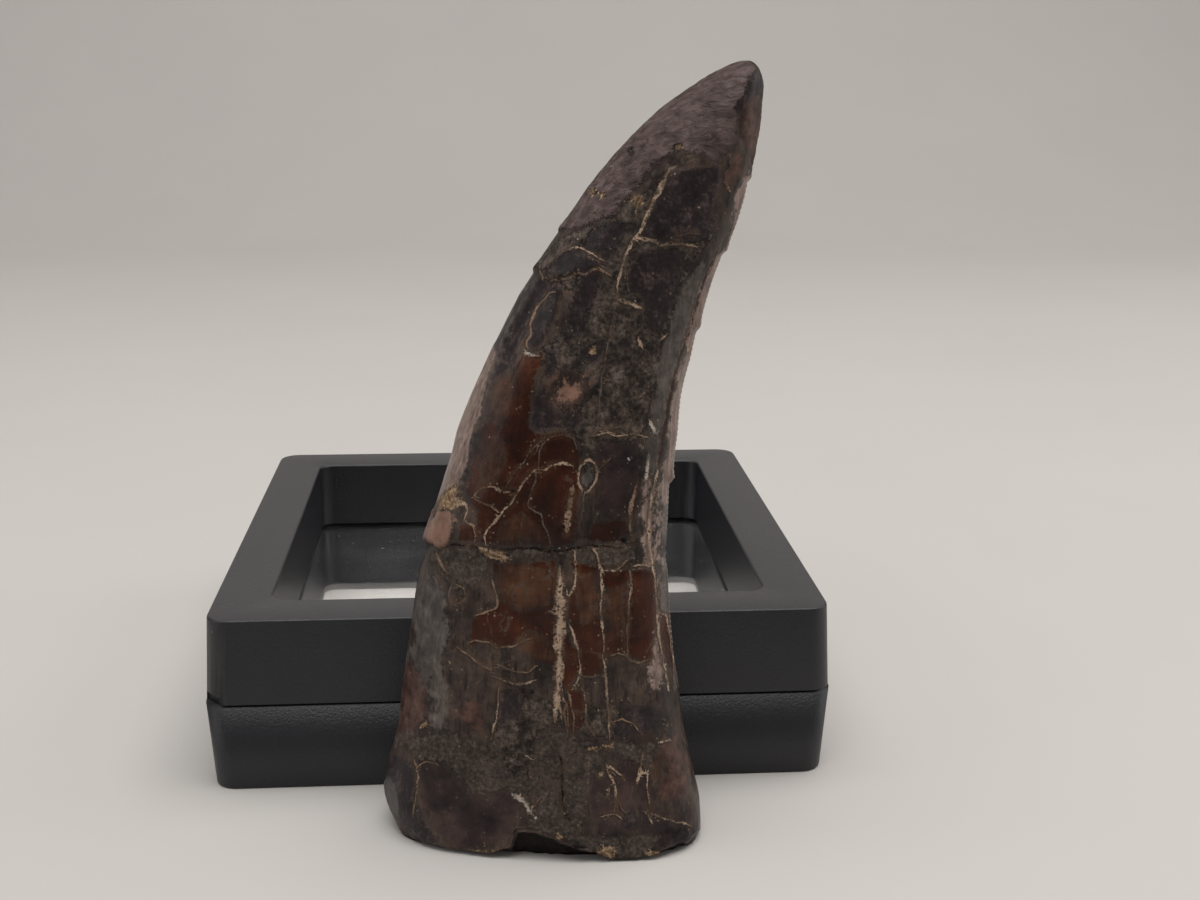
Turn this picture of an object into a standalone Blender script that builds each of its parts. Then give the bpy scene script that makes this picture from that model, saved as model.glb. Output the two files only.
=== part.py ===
"""A fossil theropod tooth that leans on its closed floating-frame display box.

The box is two black plastic frame halves, each a square ring with a clear film stretched
across its window. The tooth is one natural solid: it stands on its broken root end and
leans back on the box's upper front edge. Metres, +Z up, the floor is z = 0, and the
origin is the middle of the whole object's footprint.
"""

import math

import bmesh
import bpy
from mathutils import Matrix, Vector, noise

MM = 0.001
GAP = 0.3 * MM  # clearance kept between pieces that touch

# Where the two things stand: the box's centre lies behind the origin, the tooth in front
FOOTPRINT_SHIFT = 8.9 * MM

# Display box
BOX_SIDE = 70 * MM
BOX_HEIGHT = 20 * MM
PARTING_HEIGHT = 10.2 * MM  # where the two halves meet
BOX_DRAFT = 0.55 * MM  # how much each side leans in from the parting line to the outer face
BOX_CORNER_RADIUS = 2.5 * MM
BOX_EDGE_RADIUS = 0.25 * MM
LOWER_LIP = 0.1 * MM  # the lower half stands this far proud of the upper at the parting line
WINDOW_SIDE = 56.2 * MM
WINDOW_CORNER_RADIUS = 1.8 * MM
WINDOW_EDGE_RADIUS = 0.25 * MM
INNER_WALL = 1.5 * MM
OUTER_WALL = 1.6 * MM
FACE_THICKNESS = 1.6 * MM
TONGUE_WIDTH = 0.9 * MM
TONGUE_HEIGHT = 1.3 * MM
FILM_THICKNESS = 0.25 * MM
FILM_LAND = 1.2 * MM  # width of film bonded to the end of the inner wall
CORNER_STEPS = 6
PRY_NOTCH_WIDTH = 2.4 * MM  # nick in the upper half's front left corner, for a fingernail
PRY_NOTCH_HEIGHT = 1.1 * MM
PRY_NOTCH_DEPTH = 0.45 * MM

# Tooth, measured on its middle plane: u across (mesial -, distal +), s up from the floor
LEAN = math.radians(4.7)
TURN = math.radians(9.0)
TOOTH_FOOT_Y = -44.4 * MM  # from the box's centre to the middle of the tooth's foot
MESIAL_EDGE = [(-13.7, 0.0), (-15.5, 4.4), (-13.5, 12.6), (-12.2, 22.3), (-10.5, 32.0), (-7.8, 41.2),
               (-4.0, 50.4), (1.0, 59.9), (7.1, 68.9), (12.6, 74.7), (17.8, 78.3), (20.5, 79.5)]
DISTAL_EDGE = [(18.7, 0.0), (18.4, 4.4), (16.4, 12.6), (15.1, 20.9), (14.5, 28.6), (14.3, 35.9),
               (15.1, 42.7), (16.2, 50.4), (18.3, 58.2), (21.0, 65.5), (22.4, 72.3), (22.7, 77.4)]
TIP = (22.0, 79.6)
FOOT_THICKNESS = 15.2 * MM
TIP_BEND = 1.5 * MM
FRONT_FLATNESS = 3.0  # superellipse power of the foot's section
TIP_FLATNESS = 2.0
KEEL_HEIGHT = 0.55 * MM
KEEL_SPREAD = 0.16  # radians of the section that each cutting edge takes
KEEL_SETBACK = 0.04  # share of the thickness that the cutting edges sit behind the middle
RINGS_PER_STATION = 5
TOOTH_SIDES = 56
ROOT_ZONE = 12 * MM  # height of the rough root below the smooth crown
ROOT_LUMPS = 0.35 * MM
CROWN_LUMPS = 0.12 * MM
BREAK_HEIGHT = 30.3 * MM  # the old break that crosses the crown, closed with filler
BREAK_WIDTH = 0.9 * MM
BREAK_DEPTH = 0.35 * MM
COLLAR_HEIGHT = 12.4 * MM  # where the enamel ends and the root begins, as a low step
COLLAR_STEP = 0.3 * MM
RIM_UNEVENNESS = 0.7 * MM
NOTCH_U, NOTCH_WIDTH, NOTCH_HEIGHT = 1.6 * MM, 3.4 * MM, 1.9 * MM
UNDERSIDE = [(0.80, 1.0), (0.50, 1.8), (0.25, 2.1)]  # hollowed break: share of the rim, depth in mm


def clear_scene():
    for obj in list(bpy.data.objects):
        bpy.data.objects.remove(obj, do_unlink=True)


def material(name, colour, roughness, transmission=0.0):
    made = bpy.data.materials.new(name)
    made.use_nodes = True
    shader = made.node_tree.nodes["Principled BSDF"]
    shader.inputs["Base Color"].default_value = (*colour, 1.0)
    shader.inputs["Roughness"].default_value = roughness
    shader.inputs["Metallic"].default_value = 0.0
    shader.inputs["Transmission Weight"].default_value = transmission
    return made


def new_object(name, bm, finish, parent):
    """The bmesh as a named object with smooth round stretches and sharp corners."""
    bmesh.ops.recalc_face_normals(bm, faces=bm.faces)
    mesh = bpy.data.meshes.new(name)
    bm.to_mesh(mesh)
    bm.free()
    mesh.shade_smooth()
    mesh.set_sharp_from_angle(angle=math.radians(35))
    mesh.materials.append(finish)
    obj = bpy.data.objects.new(name, mesh)
    bpy.context.scene.collection.objects.link(obj)
    obj.parent = parent
    return obj


def loft(bm, rings, closed=False):
    """Faces between each ring of points and the next, and on to the first again where closed."""
    loops = [[bm.verts.new(point) for point in ring] for ring in rings]
    pairs = list(zip(loops, loops[1:] + loops[:1] if closed else loops[1:]))
    for low, high in pairs:
        for a, b, c, d in zip(low, low[1:] + low[:1], high[1:] + high[:1], high):
            bm.faces.new((a, b, c, d))
    return loops


# Display box


def rounded_square(half, radius, z):
    """Points round a square of the given half side with round corners."""
    corners = []
    for quarter in range(4):
        turn = quarter * math.pi / 2
        centre = Matrix.Rotation(turn, 3, "Z") @ Vector((half - radius, half - radius, z))
        for step in range(CORNER_STEPS + 1):
            angle = turn + step / CORNER_STEPS * math.pi / 2
            corners.append(centre + radius * Vector((math.cos(angle), math.sin(angle), 0)))
    return corners


def swept_ring(name, section, finish, parent):
    """A square ring whose closed section is given as (half side, corner radius, z) points."""
    bm = bmesh.new()
    loft(bm, [rounded_square(*point) for point in section], closed=True)
    return new_object(name, bm, finish, parent)


def fillet(half, z, radius, side, facing, steps=3):
    """Points of a round edge between the wall at half and the face at z.

    side is +1 on the outer wall and -1 on the window's wall; facing is +1 on the top face.
    The points run from the wall to the face.
    """
    points = []
    for step in range(steps + 1):
        angle = step / steps * math.pi / 2
        reach = radius * (1 - math.cos(angle))
        rise = radius * (1 - math.sin(angle))
        points.append((half - side * reach, z - facing * rise))
    return points


def frame_half(name, facing, finish, parent):
    """One moulded half: a channel open towards the parting plane."""
    parting = PARTING_HEIGHT + facing * GAP / 2
    face = BOX_HEIGHT if facing > 0 else 0.0
    lip = LOWER_LIP if facing < 0 else 0.0
    outer = BOX_SIDE / 2
    outer_face = outer - BOX_DRAFT
    window = WINDOW_SIDE / 2
    inner = window + INNER_WALL
    film_seat = parting + facing * (FILM_THICKNESS + GAP)
    roof = face - facing * FACE_THICKNESS
    channel = outer - OUTER_WALL
    tongue_out = channel - GAP
    tongue_in = tongue_out - TONGUE_WIDTH

    section = [(outer - LOWER_LIP + lip, parting)]
    section += fillet(outer_face, face, BOX_EDGE_RADIUS, 1, facing)
    section += reversed(fillet(window, face, WINDOW_EDGE_RADIUS, -1, facing, steps=2))
    section += [(window, film_seat), (inner, film_seat)]
    if facing > 0:
        section += [(inner, roof), (channel, roof), (channel, parting)]
    else:
        crest = parting + TONGUE_HEIGHT
        section += [(inner, roof), (tongue_in, roof), (tongue_in, crest)]
        section += [(tongue_out, crest), (tongue_out, parting)]

    def radius_at(half):
        """Corner radii grow evenly from the window's to the outside's."""
        share = (half - window) / (outer - window)
        return WINDOW_CORNER_RADIUS + share * (BOX_CORNER_RADIUS - WINDOW_CORNER_RADIUS)

    return swept_ring(name, [(half, radius_at(half), z) for half, z in section], finish, parent)


def cut_pry_notch(frame):
    """A nick across the front left corner, at the parting line."""
    corner = -(BOX_SIDE / 2 - LOWER_LIP - BOX_CORNER_RADIUS)
    outwards = Vector((-1, -1, 0)).normalized()
    bm = bmesh.new()
    bmesh.ops.create_cube(bm, size=1.0)
    bmesh.ops.scale(bm, verts=bm.verts, vec=(2 * PRY_NOTCH_DEPTH, PRY_NOTCH_WIDTH, 2 * PRY_NOTCH_HEIGHT))
    bmesh.ops.rotate(bm, verts=bm.verts, matrix=Matrix.Rotation(math.pi / 4, 3, "Z"))
    place = Vector((corner, corner, PARTING_HEIGHT + GAP / 2)) + outwards * BOX_CORNER_RADIUS
    bmesh.ops.translate(bm, verts=bm.verts, vec=place)
    cutter = new_object("pry_notch_cutter", bm, frame.data.materials[0], frame.parent)
    cutter.hide_render = True
    cutter.display_type = "WIRE"
    cut = frame.modifiers.new("pry notch", "BOOLEAN")
    cut.operation = "DIFFERENCE"
    cut.solver = "EXACT"
    cut.object = cutter


def film(name, facing, finish, parent):
    """A clear film bonded across the window, on the end of its half's inner wall."""
    near = PARTING_HEIGHT + facing * GAP / 2
    half = WINDOW_SIDE / 2 + FILM_LAND
    bm = bmesh.new()
    far = near + facing * FILM_THICKNESS
    for outline in loft(bm, [rounded_square(half, WINDOW_CORNER_RADIUS, z) for z in (near, far)]):
        bm.faces.new(outline)
    return new_object(name, bm, finish, parent)


# Tooth


def through(points, place):
    """A smooth curve through the points (Catmull-Rom), read at a station number that may be fractional."""
    last = len(points) - 1
    index = min(int(place), last - 1)
    share = place - index
    before, start, end, after = (Vector(points[min(max(index + k, 0), last)]) for k in (-1, 0, 1, 2))
    return 0.5 * (2 * start + (end - before) * share
                  + (2 * before - 5 * start + 4 * end - after) * share ** 2
                  + (3 * start - before - 3 * end + after) * share ** 3)


def bump(distance, width):
    return math.exp(-((distance / width) ** 2))


def signed_power(value, power):
    return math.copysign(abs(value) ** power, value)


def tooth_point(place, angle):
    """A point of the tooth's surface in its own frame: u across, v back, s up.

    place runs over the stations from foot to tip; angle 0 is the serrated distal edge,
    90 degrees the back, 180 degrees the mesial edge and 270 degrees the front.
    """
    share = place / (len(MESIAL_EDGE) - 1)
    mesial = through(MESIAL_EDGE, place) * MM
    distal = through(DISTAL_EDGE, place) * MM
    middle = (mesial + distal) / 2
    across = (distal - mesial) / 2
    thickness = FOOT_THICKNESS * (1 - (0.955 * share) ** 1.7) ** 0.62
    power = 2 / (FRONT_FLATNESS + (TIP_FLATNESS - FRONT_FLATNESS) * share)
    wide = signed_power(math.cos(angle), power)
    deep = signed_power(math.sin(angle), power)

    # the keels: two thin cutting edges that stand off the body of the section
    from_edge = abs(math.remainder(angle, math.pi))
    keel = KEEL_HEIGHT * min(1.0, share * 4)
    body = 1 - keel / across.length
    reach = body + (1 - body) * bump(from_edge, KEEL_SPREAD)
    at = middle + across * wide * reach
    v = thickness / 2 * deep
    v += thickness * KEEL_SETBACK * abs(wide) + TIP_BEND * share ** 2
    return Vector((at.x, v, at.y))


def surface_relief(point):
    """Height of the low swells, larger on the rough root, with the collar's step and the old break."""
    root = 1 - min(1.0, point.z / ROOT_ZONE)
    amount = CROWN_LUMPS + (ROOT_LUMPS - CROWN_LUMPS) * root
    coarse = noise.noise(point / (6 * MM))
    fine = noise.noise(point / (2.5 * MM) + Vector((7, 3, 1)))
    wander = 1.2 * MM * noise.noise(Vector((point.x, point.y, 0)) / (5 * MM))
    collar = COLLAR_STEP / 2 * math.tanh((point.z - COLLAR_HEIGHT - wander) / MM)
    groove = BREAK_DEPTH * bump(point.z - BREAK_HEIGHT - wander, BREAK_WIDTH)
    return amount * (coarse + 0.5 * fine) + collar - groove


def rim_height(u, v):
    """How far the broken root end is off the floor: low chips, and the notch in its front."""
    chips = RIM_UNEVENNESS * max(0.0, noise.noise(Vector((u, v, 0)) / (3.1 * MM)))
    notch = NOTCH_HEIGHT * bump(u - NOTCH_U, NOTCH_WIDTH) if v < 0 else 0.0
    return chips + notch


def tooth_ring(place):
    """The ring of points at one station, its foot set level on the floor."""
    ring = []
    for side in range(TOOTH_SIDES):
        angle = side / TOOTH_SIDES * 2 * math.pi
        point = tooth_point(place, angle)
        outwards = Vector((math.cos(angle), math.sin(angle), 0))
        point += outwards * surface_relief(point)
        settle = max(0.0, 1 - place / 2)
        point.z += settle * (point.y * math.tan(LEAN) + rim_height(point.x, point.y))
        ring.append(point)
    return ring


def tooth(finish, parent):
    """Rings from the middle of the broken underside out to the rim, then up the outside to the tip."""
    last = len(MESIAL_EDGE) - 1
    foot = tooth_ring(0)
    centre = sum(foot, Vector()) / TOOTH_SIDES
    rings = []
    for share, depth in reversed(UNDERSIDE):
        ring = [centre + (point - centre) * share for point in foot]
        for point in ring:
            point.z = depth * MM + point.y * math.tan(LEAN) + 0.5 * MM * noise.noise(point / (3 * MM))
        rings.append(ring)
    rings.append(foot)
    rings += [tooth_ring(step / RINGS_PER_STATION) for step in range(1, last * RINGS_PER_STATION + 1)]

    bm = bmesh.new()
    loops = loft(bm, rings)
    roof = bm.faces.new(loops[0])
    top = bm.faces.new(loops[-1])
    bmesh.ops.poke(bm, faces=[roof])
    apex = bmesh.ops.poke(bm, faces=[top])["verts"][0]
    apex.co = Vector((TIP[0] * MM, TIP_BEND, TIP[1] * MM))
    return new_object("tooth", bm, finish, parent)


def main():
    clear_scene()
    stand = bpy.data.objects.new("stand", None)
    bpy.context.scene.collection.objects.link(stand)
    stand.location = (0, FOOTPRINT_SHIFT, 0)

    plastic = material("black plastic", (0.028, 0.028, 0.031), 0.55)
    clear = material("clear film", (0.95, 0.95, 0.95), 0.05, transmission=1.0)
    enamel = material("fossil enamel", (0.075, 0.045, 0.035), 0.4)
    frame_half("lower_frame", -1, plastic, stand)
    cut_pry_notch(frame_half("upper_frame", 1, plastic, stand))
    film("lower_film", -1, clear, stand)
    film("upper_film", 1, clear, stand)

    fossil = tooth(enamel, stand)
    fossil.location = (0, TOOTH_FOOT_Y, 0)
    fossil.rotation_euler = (-LEAN, 0, -TURN)


main()
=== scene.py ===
# %% [markdown]
# # A fossil theropod tooth that leans on its display box
#
# The object is a dark, mineralised dinosaur tooth about 80 mm long. It stands on its broken
# root and leans back on a black plastic display box, whose two halves hold clear films.
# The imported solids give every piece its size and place. This script gives them their looks:
# the tooth gets its flakes, cracks, saw teeth and enamel, and the box its moulded plastic.

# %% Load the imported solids
import math

import bmesh
import bpy
import numpy as np
from mathutils import Matrix, Vector, noise


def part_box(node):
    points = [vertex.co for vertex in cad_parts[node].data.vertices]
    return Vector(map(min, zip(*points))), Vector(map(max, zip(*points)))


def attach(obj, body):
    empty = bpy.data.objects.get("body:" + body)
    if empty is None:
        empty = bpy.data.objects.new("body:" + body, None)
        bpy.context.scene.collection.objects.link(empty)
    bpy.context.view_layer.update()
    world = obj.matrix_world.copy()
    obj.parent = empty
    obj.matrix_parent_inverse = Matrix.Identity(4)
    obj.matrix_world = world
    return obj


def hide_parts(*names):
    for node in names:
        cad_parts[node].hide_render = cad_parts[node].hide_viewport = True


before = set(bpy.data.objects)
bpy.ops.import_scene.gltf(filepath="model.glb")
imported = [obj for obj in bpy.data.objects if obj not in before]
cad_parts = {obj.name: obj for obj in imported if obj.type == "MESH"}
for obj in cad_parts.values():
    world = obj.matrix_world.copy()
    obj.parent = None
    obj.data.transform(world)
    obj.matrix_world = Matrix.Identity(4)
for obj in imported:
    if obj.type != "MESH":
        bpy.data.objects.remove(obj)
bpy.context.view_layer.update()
MM = 0.001
print("solids:", sorted(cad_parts))

# %% [markdown]
# ## The camera comes first
#
# The photograph was taken from a little above the table. Its viewpoint was worked out from
# the box, whose sides are square and whose size is known. With the camera in place, any
# point of the model can be looked up in the photograph, so the marks on the tooth's front
# can be written down as pixels of the photograph and still land on the solid.

# %% Place the camera
PHOTO_WIDTH, PHOTO_HEIGHT = 1200, 900
FOCAL_PIXELS = 1498.0
SENSOR_WIDTH = 36.0
CAMERA_PLACE = Vector((-3.96, -179.76, 80.22)) * MM
CAMERA_YAW = math.radians(4.597)
CAMERA_PITCH = math.radians(15.043)
CAMERA_ROLL = math.radians(0.421)

ahead = Vector((math.sin(CAMERA_YAW) * math.cos(CAMERA_PITCH),
                math.cos(CAMERA_YAW) * math.cos(CAMERA_PITCH),
                -math.sin(CAMERA_PITCH)))
level = Vector((math.cos(CAMERA_YAW), -math.sin(CAMERA_YAW), 0))
upright = level.cross(ahead)
camera_right = level * math.cos(CAMERA_ROLL) + upright * math.sin(CAMERA_ROLL)
camera_up = upright * math.cos(CAMERA_ROLL) - level * math.sin(CAMERA_ROLL)


def put_in_scene(name, data):
    """A new object that holds the given mesh, lamp or camera."""
    made = bpy.data.objects.new(name, data)
    bpy.context.scene.collection.objects.link(made)
    return made


camera = put_in_scene("camera", bpy.data.cameras.new("camera"))
camera.data.sensor_width = SENSOR_WIDTH
camera.data.lens = FOCAL_PIXELS / PHOTO_WIDTH * SENSOR_WIDTH
camera.data.clip_start = 10 * MM
turned = Matrix((camera_right, camera_up, -ahead)).transposed()
camera.matrix_world = Matrix.Translation(CAMERA_PLACE) @ turned.to_4x4()
bpy.context.scene.camera = camera
print("lens", round(camera.data.lens, 2), "mm")

# %% Look points up in the photograph


def photo_place(points):
    """Pixels of the photograph where the given points (one a row, in metres) appear."""
    seen = points - np.array(CAMERA_PLACE)
    depth = seen @ np.array(ahead)
    across = PHOTO_WIDTH / 2 + FOCAL_PIXELS * (seen @ np.array(camera_right)) / depth
    down = PHOTO_HEIGHT / 2 - FOCAL_PIXELS * (seen @ np.array(camera_up)) / depth
    return np.stack([across, down], axis=1)


print("box's near corner is at pixel", photo_place(np.array([[0.035, -0.0261, 0.0102]])).round(0))

# %% [markdown]
# ## The tooth's blank
#
# The solid from the frame is faceted: 56 flat strips round the tooth. Its triangles are
# merged and paired back into quads, one round of subdivision surface rounds the facets off,
# and plain cuts make it fine enough to carve. The front, where the marks are, gets three
# cells for every two of the back. The edge that carries the saw teeth is cut finer still.

# %% Merge the solid and round its facets
MERGE_DISTANCE = 0.001 * MM
PAIRING_ANGLE = math.radians(60)
RIM_ANGLE = math.radians(40)
RIM_TOP = 6 * MM


def evaluated_copy(obj):
    """A new mesh of the object as its modifiers leave it."""
    graph = bpy.context.evaluated_depsgraph_get()
    return bpy.data.meshes.new_from_object(obj.evaluated_get(graph), depsgraph=graph)


def mesh_of(bm, name):
    """A new mesh with what the bmesh holds, which is freed."""
    mesh = bpy.data.meshes.new(name)
    bm.to_mesh(mesh)
    bm.free()
    return mesh


def merged_copy(node):
    """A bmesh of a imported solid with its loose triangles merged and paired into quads."""
    bm = bmesh.new()
    bm.from_mesh(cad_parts[node].data)
    bmesh.ops.remove_doubles(bm, verts=bm.verts, dist=MERGE_DISTANCE)
    bmesh.ops.join_triangles(bm, faces=bm.faces, angle_face_threshold=PAIRING_ANGLE,
                             angle_shape_threshold=PAIRING_ANGLE)
    return bm


bm = merged_copy("tooth")
crease = bm.edges.layers.float.new("crease_edge")
rim_edges = [edge for edge in bm.edges if edge.calc_face_angle(0) > RIM_ANGLE
             and max(vert.co.z for vert in edge.verts) < RIM_TOP]
for edge in rim_edges:
    edge[crease] = 1.0  # the foot's rim stays as sharp as the break that made it
print(len(rim_edges), "sharp edges round the foot")
blank = put_in_scene("tooth_blank", mesh_of(bm, "tooth_blank"))
rounding = blank.modifiers.new("rounding", "SUBSURF")
rounding.levels = 1
rounding.render_levels = 1
rounded = evaluated_copy(blank)
bpy.data.objects.remove(blank)
print("rounded blank:", len(rounded.polygons), "faces")

# %% The tooth's own directions
# As in the source of the solid: u runs across from the front edge of the living tooth to
# its saw-toothed edge, v runs back through it and s runs up its length.
TOOTH_FOOT = Vector((0, -35.5, 0)) * MM
LEAN = math.radians(4.7)
TURN = math.radians(9.0)
tooth_turn = Matrix.Rotation(-TURN, 3, "Z") @ Matrix.Rotation(-LEAN, 3, "X")


def in_tooth(points):
    """The points' u, v and s in millimetres."""
    return (points - np.array(TOOTH_FOOT)) @ np.array(tooth_turn) / MM


def smooth_step(low, high, value):
    share = np.clip((value - low) / (high - low), 0, 1)
    return share * share * (3 - 2 * share)


# %% Find the saw-toothed edge on the solid
EDGE_SLICE = 0.8  # mm of height searched round each place
EDGE_SMOOTHING = 2  # places on each side that each place is averaged with


def mesh_points(mesh):
    flat = np.empty(len(mesh.vertices) * 3)
    mesh.vertices.foreach_get("co", flat)
    return flat.reshape(-1, 3)


solid = in_tooth(mesh_points(rounded))
solid_column = photo_place(mesh_points(rounded))[:, 0]
edge_heights = np.arange(2.0, 76.5, 0.5)
edge_route = []
for height in edge_heights:
    in_slice = np.flatnonzero(abs(solid[:, 2] - height) < EDGE_SLICE)
    edge_route.append(solid[in_slice[solid_column[in_slice].argmax()]])
edge_route = np.array(edge_route)
window = np.ones(2 * EDGE_SMOOTHING + 1) / (2 * EDGE_SMOOTHING + 1)
edge_u, edge_v = [np.convolve(np.pad(edge_route[:, axis], EDGE_SMOOTHING, mode="edge"), window, "valid")
                  for axis in (0, 1)]
edge_steps = np.hypot(np.diff(edge_u), np.diff(edge_heights))
edge_length = np.concatenate([[0], np.cumsum(edge_steps)])
print("saw-toothed edge:", round(edge_length[-1], 1), "mm long")


def from_edge(local):
    """Distance of each u, v, s point from the saw-toothed edge, in mm."""
    u = np.interp(local[:, 2], edge_heights, edge_u)
    v = np.interp(local[:, 2], edge_heights, edge_v)
    return np.hypot(local[:, 0] - u, local[:, 1] - v)


# %% Cut the blank finer where it will be carved
FRONT_CUTS, BACK_CUTS, SAW_CUTS = 2, 1, 2
SAW_BAND = 0.62  # mm each side of the edge
SAW_RANGE = (17.0, 73.0)  # heights between which the saw teeth survive
FRONT_LIMIT = -0.15  # cosine of the angle to the camera, down to which the finer cells reach
SOLE_SLOPE = -0.6  # a face that looks down more steeply belongs to the underside

bm = bmesh.new()
bm.from_mesh(rounded)
bm.verts.ensure_lookup_table()
bm.normal_update()


def faces_camera(vert):
    to_camera = CAMERA_PLACE - vert.co
    return vert.normal.dot(to_camera) > FRONT_LIMIT * to_camera.length


front = {vert for vert in bm.verts if faces_camera(vert)}
front_edges = [edge for edge in bm.edges if set(edge.verts) <= front]
back_edges = [edge for edge in bm.edges if not set(edge.verts) <= front]
bmesh.ops.subdivide_edges(bm, edges=front_edges, cuts=FRONT_CUTS, use_grid_fill=True)
bmesh.ops.subdivide_edges(bm, edges=[edge for edge in back_edges if edge.is_valid],
                          cuts=BACK_CUTS, use_grid_fill=True)

local = in_tooth(np.array([vert.co for vert in bm.verts]))
near_saw = (from_edge(local) < SAW_BAND) & (local[:, 2] > SAW_RANGE[0]) & (local[:, 2] < SAW_RANGE[1])
bm.verts.index_update()
saw_edges = [edge for edge in bm.edges if near_saw[edge.verts[0].index] and near_saw[edge.verts[1].index]]
bmesh.ops.subdivide_edges(bm, edges=saw_edges, cuts=SAW_CUTS, use_grid_fill=True)
SOLE_CUTS = ([("x", -4.0 + 0.9 * across) for across in range(17)]
             + [("y", -45.0 + 0.5 * back) for back in range(13)])  # mm: planes that cut the underside
for axis, offset in SOLE_CUTS:
    sole = [face for face in bm.faces
            if face.normal.z < SOLE_SLOPE and face.calc_center_median().z < RIM_TOP]
    corners = {vert for face in sole for vert in face.verts}
    parts = set(sole) | {edge for face in sole for edge in face.edges} | corners
    facing_way = Vector((1, 0, 0)) if axis == "x" else Vector((0, 1, 0))
    bmesh.ops.bisect_plane(bm, geom=list(parts), plane_co=facing_way * offset * MM, plane_no=facing_way)
bmesh.ops.triangulate(bm, faces=[face for face in bm.faces if len(face.verts) > 4])
tooth_mesh = mesh_of(bm, "tooth_fossil")
triangles = sum(len(face.vertices) - 2 for face in tooth_mesh.polygons)
print("carving blank:", len(tooth_mesh.vertices), "points,", triangles, "triangles")
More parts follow.
